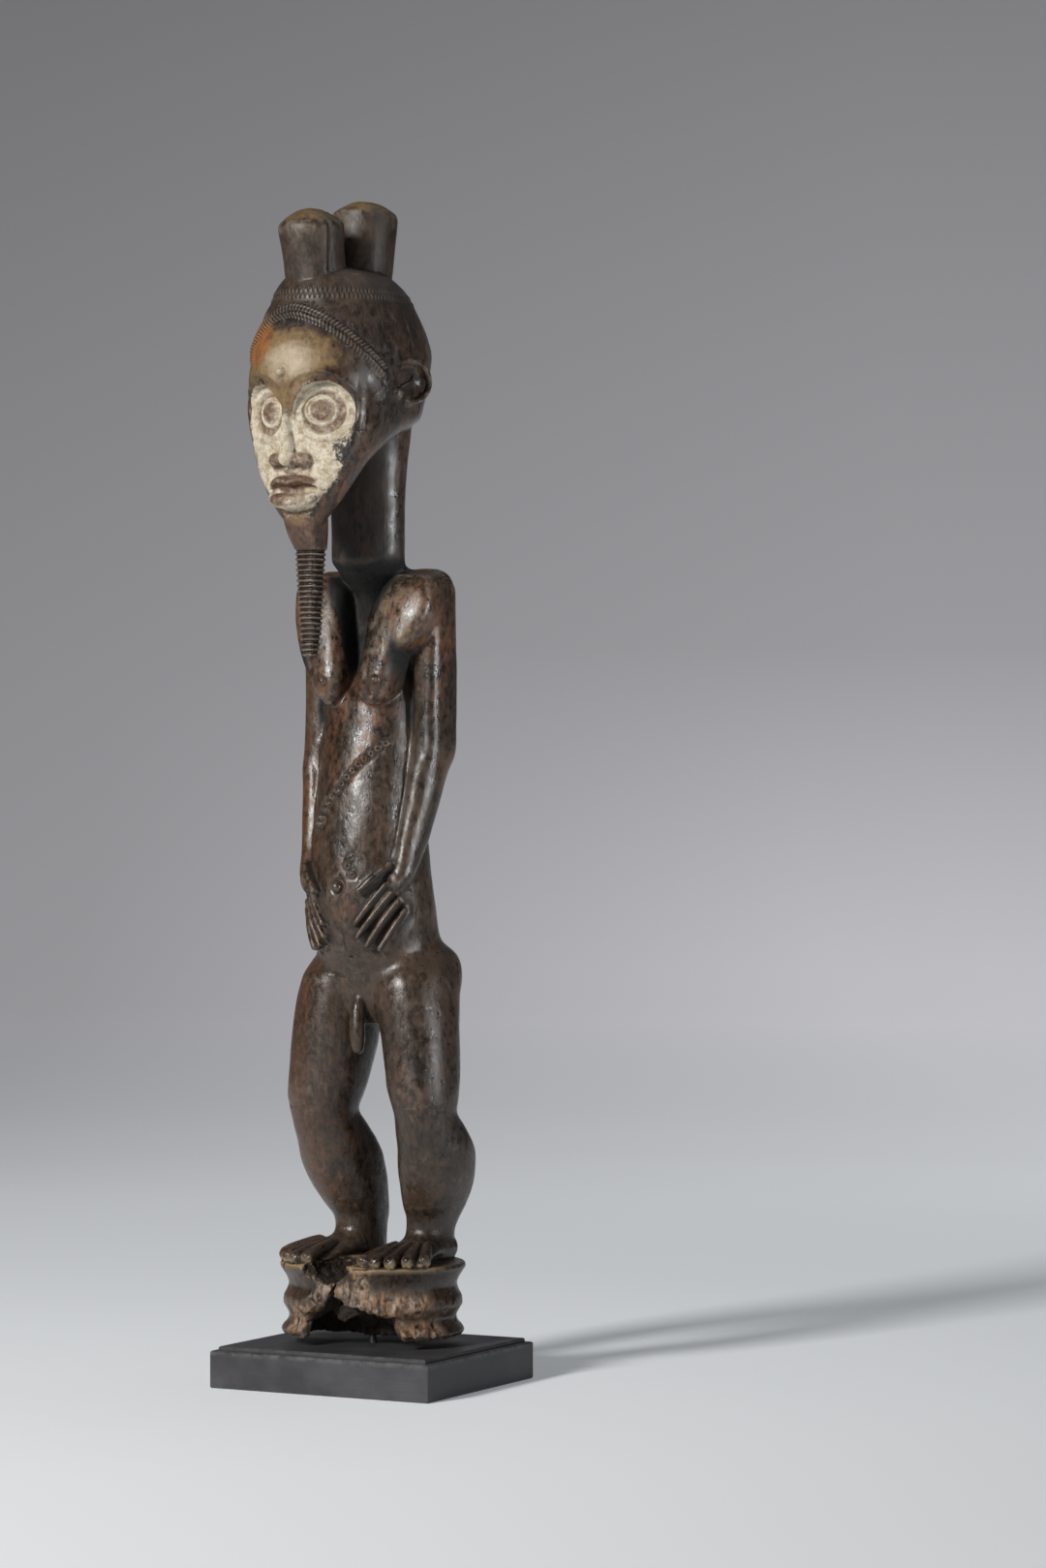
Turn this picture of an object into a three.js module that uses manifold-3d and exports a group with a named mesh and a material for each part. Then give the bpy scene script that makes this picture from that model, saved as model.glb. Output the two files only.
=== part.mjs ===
// Standing bearded figure carved with its ringed base from one block of wood,
// held just above a black wooden block by a thin metal pin.
// Millimetres, +Z up. The figure's front faces -Y, its left side is +X.
// The origin is the middle of the block's underside.
import * as THREE from "three";
import { mergeVertices } from "three/addons/utils/BufferGeometryUtils.js";
import Module from "manifold-3d";

const wasm = await Module();
wasm.setup();

// Driving sizes of the black block and its pin
const BLOCK_WIDTH = 122;
const BLOCK_DEPTH = 107;
const BLOCK_LEDGE = 18.3;
const BLOCK_TOP = 20.3;
const BLOCK_REBATE = 3;
const BLOCK_WORN_EDGE = 0.6;
const PIN_RADIUS = 2;
const PIN_FOOT = 6.3;
const PIN_TIP = 40;
const FIT_GAP = 0.3;

// Driving sizes of the figure's ringed base
const FIGURE_TURN = -4;
const BASE_HALF_WIDTH = 47;
const BASE_HALF_DEPTH = 43;
const BASE_BOTTOM = 24;
// Share of the base's half width and height of each turn of the rings
const BASE_PROFILE = [
  [0, BASE_BOTTOM], [0.955, BASE_BOTTOM], [0.985, 26.2], [0.97, 29], [0.9, 34.5], [0.965, 40.5],
  [0.965, 43.5], [0.905, 50], [0.965, 56], [1, 58.8], [0.985, 60.6], [0.8, 62], [0, 63],
];

// Level sections of the body: height, centre x, half width, front y, back y
const TORSO = [
  [178, 0, 18, -8, 20], [186, 0, 28, -12, 28], [196, 0, 32, -16, 33], [207, 0, 32, -20, 35],
  [216, 0, 31, -25, 35.5], [230, 0, 31, -30, 32.5], [245, 0, 30, -31.5, 29.5], [267, 0, 28.5, -29.5, 26],
  [290, 0, 27.5, -26.5, 22.5], [324, 0, 25.5, -20, 18], [335, 0, 25, -18.5, 17.5],
  [345, 0, 24.5, -12, 17.5], [357, 0, 24.5, -5, 17.5], [399, 0, 24, -1, 14],
];
const SHOULDERS = [
  [362, 0, 34, 0, 16], [372, 0, 39.5, 0, 17.5], [388, 0, 40.5, 0, 17.5],
  [395, 0, 39.5, 0, 17], [399, 0, 37, 0, 15.5], [401, 0, 32, 0, 14],
];
const LEFT_CHEST = [
  [334.5, 13, 3, -21, -5], [340, 13.2, 8, -24, 0], [347, 14, 9.2, -24.5, 5], [358, 16, 10.8, -23, 5],
  [368, 21.5, 15.6, -21, 5], [379, 24, 17.6, -18.5, 5], [391, 26.8, 15, -14.5, 5],
  [398, 28, 10, -10.5, 5],
];
const RIGHT_CHEST = [
  [334.5, -12, 3, -21, -5], [340, -13, 7, -24, 0], [347, -14.4, 10, -24.5, 5],
  [357, -17.5, 12.4, -23.5, 5], [376, -22.2, 14, -20, 5], [391, -25, 14, -14.5, 5],
  [398, -28, 8.5, -10.5, 5],
];
const NECK = [
  [340, 0, 3.5, -17, 0], [352, 0, 4.4, -13, 4], [370, 0, 7, -7, 8], [386, 0, 11, -8, 10],
  [399, 0, 17, -13, 10.5], [406, 0, 19.5, -18.5, 10.5], [430, 0, 19.5, -19.5, 11],
  [455, 0, 20.5, -21, 13.5], [470, 0, 22, -24, 16], [480, 0, 20, -22, 12],
];
// The right upper arm stands this much nearer the middle than the left one
const RIGHT_ARM_INSET = 1.6;
const UPPER_ARM = [
  [304, 32.6, 7.6, -7, 14.5], [311, 32.8, 8.4, -8, 17], [320, 33, 8, -7, 17.5], [345, 33, 7.8, -6.5, 18],
  [376, 33, 8, -6.5, 17.5], [390, 33, 7.6, -6, 17], [397, 32.5, 6, -4, 14],
];
const FOREARM = [
  [243, 24.6, 3.6, -21, -12], [248, 25.2, 6.2, -21.6, -9], [254, 26.2, 7, -20.5, -5.5],
  [262, 27.3, 6.8, -18, -0.5], [270, 28, 7.2, -16.5, 4], [280, 28.8, 8, -14.5, 7.5],
  [294, 30.3, 8.6, -11.5, 12], [305, 32, 8.4, -10, 15], [314, 32.6, 7, -7, 14],
];
// The right leg is a little thicker than the left one
const LEFT_THIGH = [
  [123, 30.2, 7, -10, 6], [128, 30.8, 11.4, -13.5, 11], [134, 31, 14.3, -16.8, 15.5],
  [149, 29.3, 17.1, -19, 20.5], [171, 26.4, 18.4, -19, 24], [190, 22.8, 20, -18.5, 28.5],
  [200, 20.5, 21, -17.5, 33.5], [206, 19.5, 20, -14, 35.5], [212, 18.5, 17.5, -9, 35],
  [217, 17, 11, -1, 31],
];
const RIGHT_THIGH = [
  [123, -29.6, 7.6, -10, 7], [128, -29.4, 13, -13.5, 12], [134, -29.2, 16.6, -16.8, 17],
  [149, -27.2, 19.8, -19.5, 22], [171, -24.2, 21.2, -19.5, 25.5], [190, -22.2, 20.8, -18.5, 28.5],
  [200, -20.5, 21, -17.5, 33.5], [206, -19.5, 20, -14, 35.5], [212, -18.5, 17.5, -9, 35],
  [217, -17, 11, -1, 31],
];
const LEFT_CALF = [
  [59, 20.4, 11.8, 2, 34], [74.4, 20.7, 11, 5.5, 34], [80, 21.5, 11.7, 5.5, 35.8],
  [87.8, 23.9, 14.2, 0.5, 37.4], [95.4, 26.1, 16.1, -3.5, 37.8], [103, 27.9, 17.2, -7, 37.2],
  [110.7, 29.1, 17.5, -9.5, 36.2], [118, 30, 16.9, -11.5, 33], [126, 30.4, 15.7, -14.5, 26],
  [131, 30.7, 15, -15.8, 21], [136, 31, 13.3, -15.4, 15], [141, 30.6, 8.6, -10, 8],
];
const RIGHT_CALF = [
  [59, -20, 12.4, 2, 34], [74.4, -20.2, 11.8, 5.5, 34.4], [80, -20.8, 12.7, 5.5, 36],
  [87.8, -23, 15.2, 0.5, 37.6], [95.4, -25, 17.4, -3.5, 38], [103, -26.4, 18.9, -7, 37.6],
  [110.7, -27.5, 19.3, -9.5, 36.4], [118, -28.5, 18.6, -11.5, 33], [126, -29.1, 17.3, -14.5, 26],
  [131, -29.4, 16.6, -15.8, 21.5], [136, -29.8, 14.6, -15.4, 16], [141, -29.8, 9.4, -10, 9],
];
const HEAD = [
  [417, 0, 6, -60, -52], [421, 0, 9.5, -64.5, -51.5], [427, 0, 14.5, -67, -49], [436, 0, 21, -69, -44],
  [449, 0, 28, -70.5, -36], [457, 0, 31.5, -71.5, -25], [466, 0, 34.3, -72.5, -8], [474, 0, 36.3, -75, 13],
  [482, 0, 38, -78, 17], [493, 0, 39.6, -79.5, 22.5], [504, 0, 39.5, -78, 25], [515, 0, 37.7, -73, 21.5],
  [524, 0, 34.9, -69.4, 16], [529.5, 0.6, 31.8, -67, 12.8], [535, 0.8, 29.2, -65, 8.6],
  [540.5, 0.6, 24, -61.6, 4.5], [544, 0, 19, -57, 0], [546.5, 0, 10, -48, -10],
];

const FACE_MIDDLE = 470;
const FACE_TOP = 500;
const FACE_SQUARENESS = 2.3;
const ROUND = 2;

// Hair: two buns one behind the other, a circlet below them and a pair of ridges to each ear
// Bun sections: y, height, radius
const FRONT_BUN = [
  [-48, 532, 14.2], [-50.5, 548, 14.8], [-53.6, 564.6, 16.2], [-53.8, 566, 15.8], [-54, 568.6, 13],
  [-54.2, 571.8, 8], [-54.4, 574, 2.4],
];
const REAR_BUN = [
  [-10.5, 541, 15.4], [-9, 556, 15.8], [-6.8, 573.4, 16.2], [-6.6, 574.8, 15.8], [-6.4, 577.4, 13],
  [-6.2, 580, 8], [-6, 581.6, 2.4],
];
const CIRCLET_HEIGHTS = [530.2, 533.2];
const CIRCLET_RISE = 0.6;
const CIRCLET_HALF_WIDTH = 1.3;
const HAIRLINE_TOP = 521.5;
const HAIRLINE_EAR = 491;
const HAIRLINE_REACH = 72;
const HAIRLINE_CURVE = 1.7;
const RIDGE_PITCH = 4;
const RIDGE_HALF_WIDTH = 1.5;
const RIDGE_STEP_ANGLE = 18;

// Beard: a square bar with rings cut round it
const BEARD_TOP = 424;
const BEARD_TIP = 356;
const BEARD_Y = -54;
const BEARD_RING_PITCH = 2.56;
const BEARD_RING_START = 409;
const BEARD_GROOVE = 0.9;
const BEARD_HALF = 6.1;
const BEARD_TIP_HALF = 3.1;
const SQUARE = 40;

// Eyes: goggle ring, the flat it stands in and the domed ball; radii are half width, depth, half height
const EYE_X = 16.4;
const EYE_Y = -67.8;
const EYE_HEIGHT = 473.6;
const EYE_YAW = 22;
const EYE_RING_RADIUS = 12;
const EYE_RING_WIDTH = 2.3;
const EYE_RING_FLATNESS = 0.92;
const EYE_SOCKET = [16.5, 8.4, 16];
const EYE_BALL = [7.6, 4, 6.8];

// Ears
const EAR_Y = -25.6;
const EAR_HEIGHT = 490.5;
const EAR_HALF_LENGTH = 14;
const EAR_HALF_HEIGHT = 9.2;
const EAR_RIM_X = 40;
const EAR_RIM_HALF_WIDTH = 1.5;
const EAR_RIM_HALF_THICKNESS = 2;
const EAR_FIRST_ANGLE = -110;
const EAR_LAST_ANGLE = 150;
const EAR_STEP_ANGLE = 52;
const EAR_SHELL_THICKNESS = 3;

const radians = THREE.MathUtils.degToRad;

// Columns of a station list at a height, read without overshoot between stations
function stationAt(stations, height) {
  let i = 0;
  while (i < stations.length - 2 && height > stations[i + 1][0]) i += 1;
  const last = stations.length - 1;
  const [a, b] = [stations[Math.max(i - 1, 0)], stations[i]];
  const [c, d] = [stations[i + 1], stations[Math.min(i + 2, last)]];
  const span = c[0] - b[0];
  const u = (height - b[0]) / span;
  const rise = (p, q, k) => (q[0] === p[0] ? 0 : (q[k] - p[k]) / (q[0] - p[0]));
  const turn = (m, n) => (m * n > 0 ? (2 * m * n) / (m + n) : 0);
  return b.slice(1).map((value, column) => {
    const k = column + 1;
    const middle = rise(b, c, k);
    const enter = i === 0 ? middle : turn(rise(a, b, k), middle);
    const leave = i === last - 1 ? middle : turn(middle, rise(c, d, k));
    const lift = (1 - u) ** 2 * (value * (1 + 2 * u) + u * span * enter);
    return lift + u ** 2 * (c[k] * (3 - 2 * u) - (1 - u) * span * leave);
  });
}

// Swaps a round section's corner for a squarer one, 2 being a plain ellipse
function squared(u, squareness) {
  return Math.sign(u) * Math.abs(u) ** (2 / squareness);
}

function asSolid(geometry) {
  const bare = geometry.clone();
  bare.deleteAttribute("normal");
  bare.deleteAttribute("uv");
  const merged = mergeVertices(bare, 1e-4);
  const mesh = new wasm.Mesh({
    numProp: 3,
    vertProperties: Float32Array.from(merged.attributes.position.array),
    triVerts: Uint32Array.from(merged.index.array),
  });
  return new wasm.Manifold(mesh);
}

function asGeometry(solid) {
  const { vertProperties, triVerts } = solid.getMesh();
  const geometry = new THREE.BufferGeometry();
  geometry.setAttribute("position", new THREE.BufferAttribute(vertProperties, 3));
  geometry.setIndex(new THREE.BufferAttribute(triVerts, 1));
  geometry.computeVertexNormals();
  return geometry;
}

// A closed solid of level sections, with a ring of corners at each station
function upright(stations, options = {}) {
  const { around = 20, squareness = 2, startAngle = 0, swell = () => 0 } = options;
  const { squarenessAt = () => squareness } = options;
  const rows = stations.length - 1;
  const geometry = new THREE.CylinderGeometry(1, 1, 1, around, rows, false, startAngle);
  const place = geometry.attributes.position;
  for (let i = 0; i < place.count; i += 1) {
    const [height, x, halfWidth, front, back] = stations[Math.round((place.getY(i) + 0.5) * rows)];
    const corner = squarenessAt(height);
    const rim = swell(height);
    place.setXYZ(
      i,
      x + (halfWidth + rim) * squared(place.getX(i), corner),
      (front + back) / 2 - ((back - front) / 2 + rim) * squared(place.getZ(i), corner),
      height,
    );
  }
  return geometry;
}

// A closed solid along a smooth path of [x, y, z, half width, half thickness], its thickness towards face
function limb(points, face, around = 6, steps = 1) {
  const path = new THREE.CatmullRomCurve3(points.map((p) => new THREE.Vector3(p[0], p[1], p[2])));
  const sizes = points.map((p, index) => [index, p[3], p[4]]);
  const rows = (points.length - 1) * steps;
  const geometry = new THREE.CylinderGeometry(1, 1, 1, around, rows);
  const place = geometry.attributes.position;
  const side = new THREE.Vector3();
  const up = new THREE.Vector3();
  for (let i = 0; i < place.count; i += 1) {
    const share = Math.round((place.getY(i) + 0.5) * rows) / rows;
    const ahead = path.getTangent(share);
    side.crossVectors(ahead, face).normalize();
    up.crossVectors(side, ahead);
    const [halfWidth, halfThickness] = stationAt(sizes, share * (points.length - 1));
    const corner = path.getPoint(share);
    corner.addScaledVector(side, halfWidth * place.getX(i));
    corner.addScaledVector(up, halfThickness * place.getZ(i));
    place.setXYZ(i, corner.x, corner.y, corner.z);
  }
  return geometry;
}

function ball(centre, radii, { around = 12, rows = 8, yaw = 0 } = {}) {
  const geometry = new THREE.SphereGeometry(1, around, rows);
  geometry.scale(...radii);
  geometry.rotateZ(radians(yaw));
  geometry.translate(...centre);
  return geometry;
}

// Breaks up a smooth cutter so that it leaves a torn surface
function torn(geometry, depth) {
  const place = geometry.attributes.position;
  for (let i = 0; i < place.count; i += 1) {
    const [x, y, z] = [place.getX(i), place.getY(i), place.getZ(i)];
    const shift = depth * Math.sin(x * 0.9 + z * 0.35) * Math.cos(z * 0.75 - x * 0.3);
    place.setXYZ(i, x + shift * 0.6, y + shift, z + shift * 0.7);
  }
  return geometry;
}

const FORWARD = new THREE.Vector3(0, -1, 0);
const UPWARD = new THREE.Vector3(0, 0, 1);

// Turns a station list to the figure's other side, set in by a small amount
function otherSide(stations, inset = 0) {
  return stations.map(([height, x, ...rest]) => [height, inset - x, ...rest]);
}

function mirrored(points) {
  return points.map(([x, ...rest]) => [-x, ...rest]);
}

// The face is squarer in plan than the round skull above it
function headSquareness(height) {
  const share = THREE.MathUtils.smoothstep(height, FACE_MIDDLE, FACE_TOP);
  return THREE.MathUtils.lerp(FACE_SQUARENESS, ROUND, share);
}

// A point on the head at an angle from the front towards the left ear
function onHead(angle, height) {
  const [x, halfWidth, front, back] = stationAt(HEAD, height);
  const across = squared(Math.sin(angle), headSquareness(height));
  const ahead = squared(Math.cos(angle), headSquareness(height));
  return [
    x + halfWidth * across,
    (front + back) / 2 - ((back - front) / 2) * ahead,
    height,
  ];
}

function skull() {
  const rim = (height) => (CIRCLET_HEIGHTS.includes(height) ? CIRCLET_RISE : 0);
  const stations = [...HEAD];
  CIRCLET_HEIGHTS.forEach((centre) => {
    [-CIRCLET_HALF_WIDTH, 0, CIRCLET_HALF_WIDTH].forEach((shift) => {
      stations.push([centre + shift, ...stationAt(HEAD, centre + shift)]);
    });
  });
  stations.sort((a, b) => a[0] - b[0]);
  return upright(stations, { around: 18, squarenessAt: headSquareness, swell: rim });
}

function hairRidge(shift) {
  const points = [];
  for (let angle = -HAIRLINE_REACH; angle <= HAIRLINE_REACH; angle += RIDGE_STEP_ANGLE) {
    const share = Math.abs(angle) / HAIRLINE_REACH;
    const drop = (HAIRLINE_TOP - HAIRLINE_EAR) * share ** HAIRLINE_CURVE;
    const place = onHead(radians(angle), HAIRLINE_TOP - drop + shift);
    points.push([...place, RIDGE_HALF_WIDTH, RIDGE_HALF_WIDTH]);
  }
  return limb(points, UPWARD, 4);
}

function bun(sections) {
  const points = sections.map(([y, height, radius]) => [0, y, height, radius, radius]);
  return limb(points, FORWARD, 9);
}

// C-shaped rim of an ear round a flat shell
function ear(side) {
  const outwards = new THREE.Vector3(side, 0, 0);
  const points = [];
  for (let angle = EAR_FIRST_ANGLE; angle <= EAR_LAST_ANGLE; angle += EAR_STEP_ANGLE) {
    const y = EAR_Y + EAR_HALF_LENGTH * Math.cos(radians(angle));
    const z = EAR_HEIGHT + EAR_HALF_HEIGHT * Math.sin(radians(angle));
    points.push([side * EAR_RIM_X, y, z, EAR_RIM_HALF_WIDTH, EAR_RIM_HALF_THICKNESS]);
  }
  return [
    limb(points, outwards, 4),
    ball([side * (EAR_RIM_X - 3), EAR_Y, EAR_HEIGHT], [EAR_SHELL_THICKNESS, EAR_HALF_LENGTH, EAR_HALF_HEIGHT],
      { around: 8, rows: 4 }),
    ball([side * (EAR_RIM_X - 3), EAR_Y - 8.6, EAR_HEIGHT - 6.4], [3, 3.4, 3], { around: 5, rows: 3 }),
  ];
}

function eyeSocket(side) {
  return ball([side * (EYE_X + 0.5), EYE_Y - EYE_SOCKET[1], EYE_HEIGHT], EYE_SOCKET, {
    around: 12,
    rows: 8,
    yaw: side * EYE_YAW,
  });
}

function eyeRing(side) {
  const geometry = new THREE.TorusGeometry(EYE_RING_RADIUS, EYE_RING_WIDTH, 4, 14);
  geometry.rotateX(Math.PI / 2);
  geometry.scale(1, EYE_RING_FLATNESS, EYE_RING_FLATNESS);
  geometry.rotateZ(radians(side * EYE_YAW));
  geometry.translate(side * EYE_X, EYE_Y - 0.6, EYE_HEIGHT);
  return geometry;
}

function eyeBall(side) {
  return ball([side * (EYE_X - 1.4), EYE_Y - 0.4, EYE_HEIGHT], EYE_BALL, {
    around: 10,
    rows: 6,
    yaw: side * EYE_YAW,
  });
}

// Narrow bridge, round tip and two wings
const NOSE_RIDGE = [
  [0, -75.5, 482, 2, 2.4], [0, -74.5, 472, 2.1, 2.6], [0, -74, 462, 2.8, 3], [0, -74, 452, 4, 3.6],
];
const NOSE_TIP = { centre: [0, -73.6, 451.8], radii: [4.7, 4.4, 4.4] };
const NOSE_WING = { x: 7.2, y: -70.6, height: 451.2, radii: [5.4, 4.4, 4.1], yaw: 12 };

function nose() {
  const { x, y, height, radii, yaw } = NOSE_WING;
  const wing = (side) => ball([side * x, y, height], radii, { around: 7, rows: 5, yaw: side * yaw });
  return [
    limb(NOSE_RIDGE, FORWARD),
    ball(NOSE_TIP.centre, NOSE_TIP.radii, { around: 7, rows: 5 }),
    wing(1), wing(-1),
  ];
}

// Upper lip with a dip in its middle, and a full lower lip
const UPPER_LIP = [
  [-14.2, -64.6, 437, 1.6, 2.6], [-7, -69.8, 441.2, 2.4, 3.4], [0, -71.6, 439.9, 2, 3.3],
  [7, -69.8, 441.2, 2.4, 3.4], [14.2, -64.6, 437, 1.6, 2.6],
];
const LOWER_LIP = [
  [-14.2, -64.6, 436.4, 1.6, 2.4], [-8.6, -68.4, 431.8, 2.8, 3.6], [0, -71, 430.6, 3.2, 4.2],
  [8.6, -68.4, 431.8, 2.8, 3.6], [14.2, -64.6, 436.4, 1.6, 2.4],
];

function lips() {
  return [UPPER_LIP, LOWER_LIP].map((path) => limb(path, FORWARD));
}

// The beard bar narrows to its tip and is ringed below the chin
function beard() {
  const section = (height, groove) => {
    const half = THREE.MathUtils.mapLinear(height, BEARD_TIP, BEARD_RING_START, BEARD_TIP_HALF, BEARD_HALF);
    const reach = half - groove;
    return [height, 0, reach, BEARD_Y - reach, BEARD_Y + reach];
  };
  const stations = [];
  for (let height = BEARD_TIP; height < BEARD_RING_START; height += BEARD_RING_PITCH) {
    stations.push(section(height, 0));
    stations.push(section(height + BEARD_RING_PITCH / 2, BEARD_GROOVE));
  }
  stations.push([BEARD_TOP - 12, 0, 6.8, BEARD_Y - 8, BEARD_Y + 6]);
  stations.push([BEARD_TOP - 7, 0, 7.6, BEARD_Y - 10.6, BEARD_Y + 5.4]);
  stations.push([BEARD_TOP, 0, 8.8, BEARD_Y - 12, BEARD_Y + 4.4]);
  return upright(stations, { around: 4, squareness: SQUARE, startAngle: Math.PI / 4 });
}

// Hand laid on the belly: four long fingers slanting inwards and a thumb beside the navel
const FINGERS = [
  [[22, -20.4, 247.5], [15.4, -26, 237], [8.4, -29.4, 226.4]],
  [[24, -18.6, 243], [16.4, -25, 231], [8.6, -28.2, 220]],
  [[26.4, -16.4, 239], [19.4, -22.4, 227], [12.6, -25.4, 215.6]],
  [[28.6, -13, 235], [23.6, -18.4, 224.4], [18, -22, 214]],
];
const THUMB = [[25, -20.8, 257], [19, -27, 250.4], [12, -31.8, 242.4]];

function hand(side) {
  const mirror = side > 0 ? (points) => points : mirrored;
  const outwards = new THREE.Vector3(side * 0.55, -0.83, 0);
  const finger = (points, half) => {
    const path = points.map((point, index) => [...point, half, index === 2 ? half * 0.8 : half]);
    return limb(mirror(path), outwards, 4);
  };
  return [...FINGERS.map((points) => finger(points, 2.5)), finger(THUMB, 2.6)];
}

// Foot with five long toes fanned to the rim of the base
const FOOT = [
  [23.4, 33, 65, 6, 5], [22.8, 28, 66, 9.5, 7], [21.5, 13, 66.4, 11.5, 7.4], [23.5, -3, 64.8, 13, 5.8],
  [26.5, -16, 63.2, 15, 4], [28.2, -25, 62.2, 15, 2.6],
];
const TOE_TIPS = [[16.5, -35.6], [23.6, -36.2], [30.6, -32.4], [37, -26.2], [42.3, -18.2]];
const TOE_ROOTS = [[19, -12], [22.6, -11], [26.4, -9], [30.2, -6], [33.4, -2]];

function foot(side) {
  const mirror = side > 0 ? (points) => points : mirrored;
  const toes = TOE_TIPS.map(([tipX, tipY], index) => {
    const [rootX, rootY] = TOE_ROOTS[index];
    const half = index === 0 ? 3.4 : 2.9;
    const path = [
      [rootX, rootY, 66.5, 1.6, 2],
      [(rootX + tipX) / 2, (rootY + tipY) / 2, 65, half, 2.8],
      [tipX, tipY, 62.6, half * 0.9, 2.3],
    ];
    return limb(mirror(path), UPWARD, 4);
  });
  return [limb(mirror(FOOT), UPWARD, 9), ...toes];
}

function ringedBase() {
  const outline = BASE_PROFILE.map(([share, height]) => new THREE.Vector2(share, height));
  const geometry = new THREE.LatheGeometry(outline, 24);
  geometry.rotateX(Math.PI / 2);
  geometry.scale(BASE_HALF_WIDTH, BASE_HALF_DEPTH, 1);
  return geometry;
}

// Losses at the front of the base: a torn scoop between the feet, a crack, and a rotted hollow in two lobes
const SCOOP = { centre: [-2, -49, 68], radii: [16, 47, 18.5] };
const HOLLOW_LOBES = [
  { centre: [-5, -44, 20], radii: [21, 27, 26] },
  { centre: [17, -40, 19], radii: [22, 27, 19] },
];
const CRACK_SIZE = [1.3, 24, 24];
const CRACK_CENTRE = [-4, -36, 51];
const CRACK_LEAN = 4;
const TORN_DEPTH = 1.5;

function baseLosses() {
  const crack = new THREE.BoxGeometry(...CRACK_SIZE);
  crack.rotateY(radians(CRACK_LEAN));
  crack.translate(...CRACK_CENTRE);
  const lobe = ({ centre, radii }) => torn(ball(centre, radii, { around: 12, rows: 7 }), TORN_DEPTH);
  return [lobe(SCOOP), ...HOLLOW_LOBES.map(lobe), crack];
}

function pinHole(bottom, top) {
  const geometry = new THREE.CylinderGeometry(PIN_RADIUS + FIT_GAP, PIN_RADIUS + FIT_GAP, top - bottom, 12);
  geometry.rotateX(Math.PI / 2);
  geometry.translate(0, 0, (top + bottom) / 2);
  return geometry;
}

function joined(geometries) {
  return geometries.map(asSolid).reduce((whole, piece) => whole.add(piece));
}

function cut(solid, geometries) {
  return geometries.map(asSolid).reduce((rest, piece) => rest.subtract(piece), solid);
}

// Small round details: centre, radii
const FOREHEAD_BUMP = [[0, -80, 492.8], [2.3, 2, 2.6]];
const NAVEL = [[0.4, -32, 245.4], [2.8, 2.8, 2.8]];
const LEFT_NIPPLE = [[17.4, -24.6, 346.4], [2.2, 2.2, 2.3]];
const RIGHT_NIPPLE = [[-13, -24.8, 345.8], [2.2, 2.2, 2.3]];
const LOINS = [
  [0, -10, 194, 3.4, 3.4], [0.5, -14, 185, 3.9, 3.9], [1, -15, 174, 3.9, 3.9], [1, -14.6, 163, 2.8, 2.8],
];

function carvedFigure() {
  const sides = [1, -1];
  const both = (stations, options, inset) => [
    upright(stations, options),
    upright(otherSide(stations, inset), options),
  ];
  const base = cut(asSolid(ringedBase()), baseLosses());
  const face = cut(asSolid(skull()), sides.map(eyeSocket));
  const head = face.add(joined([
    ...sides.map(eyeRing), ...sides.map(eyeBall), ...nose(), ...lips(), ...ear(1), ...ear(-1),
    bun(FRONT_BUN), bun(REAR_BUN), hairRidge(0), hairRidge(RIDGE_PITCH), beard(),
    ball(...FOREHEAD_BUMP, { around: 6, rows: 4 }),
  ]));
  const trunk = joined([
    upright(TORSO, { around: 14 }),
    upright(SHOULDERS, { around: 14, squareness: 3.4 }),
    upright(LEFT_CHEST, { around: 12, squareness: 3 }),
    upright(RIGHT_CHEST, { around: 12, squareness: 3 }),
    upright(NECK, { around: 12 }),
    ...both(UPPER_ARM, { around: 10, squareness: 3 }, RIGHT_ARM_INSET),
    ...both(FOREARM, { around: 8 }),
    ...[LEFT_THIGH, RIGHT_THIGH, LEFT_CALF, RIGHT_CALF].map((leg) => upright(leg, { around: 10 })),
    ...hand(1), ...hand(-1), ...foot(1), ...foot(-1),
    ball(...NAVEL, { around: 8, rows: 5 }),
    ball(...LEFT_NIPPLE, { around: 6, rows: 4 }),
    ball(...RIGHT_NIPPLE, { around: 6, rows: 4 }),
    limb(LOINS, FORWARD),
  ]);
  const figure = base.add(trunk).add(head);
  return cut(figure, [pinHole(BASE_BOTTOM - 1, PIN_TIP + FIT_GAP)]);
}

function slab(width, depth, bottom, top, edge) {
  const outline = new THREE.Shape();
  const [x, y] = [width / 2 - edge, depth / 2 - edge];
  outline.moveTo(-x, -y).lineTo(x, -y).lineTo(x, y).lineTo(-x, y).closePath();
  const geometry = new THREE.ExtrudeGeometry(outline, {
    depth: top - bottom - 2 * edge,
    bevelSize: edge,
    bevelThickness: edge,
    bevelSegments: 1,
  });
  geometry.translate(0, 0, bottom + edge);
  return geometry;
}

function displayBlock() {
  const inset = 2 * BLOCK_REBATE;
  const whole = joined([
    slab(BLOCK_WIDTH, BLOCK_DEPTH, 0, BLOCK_LEDGE, BLOCK_WORN_EDGE),
    slab(BLOCK_WIDTH - inset, BLOCK_DEPTH - inset, BLOCK_LEDGE - 4, BLOCK_TOP, BLOCK_WORN_EDGE),
  ]);
  return cut(whole, [pinHole(PIN_FOOT - FIT_GAP, BLOCK_TOP + 1)]);
}

function mountPin() {
  const geometry = new THREE.CylinderGeometry(PIN_RADIUS, PIN_RADIUS, PIN_TIP - PIN_FOOT, 12);
  geometry.rotateX(Math.PI / 2);
  geometry.translate(0, 0, (PIN_TIP + PIN_FOOT) / 2);
  return geometry;
}

function named(name, geometry, material) {
  const mesh = new THREE.Mesh(geometry, material);
  mesh.name = name;
  return mesh;
}

const patinatedWood = new THREE.MeshStandardMaterial({ color: "#3b2a20", roughness: 0.45, metalness: 0 });
const blackPaint = new THREE.MeshStandardMaterial({ color: "#17171a", roughness: 0.6, metalness: 0 });
const darkSteel = new THREE.MeshStandardMaterial({ color: "#2b2a2a", roughness: 0.45, metalness: 0.9 });

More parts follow.
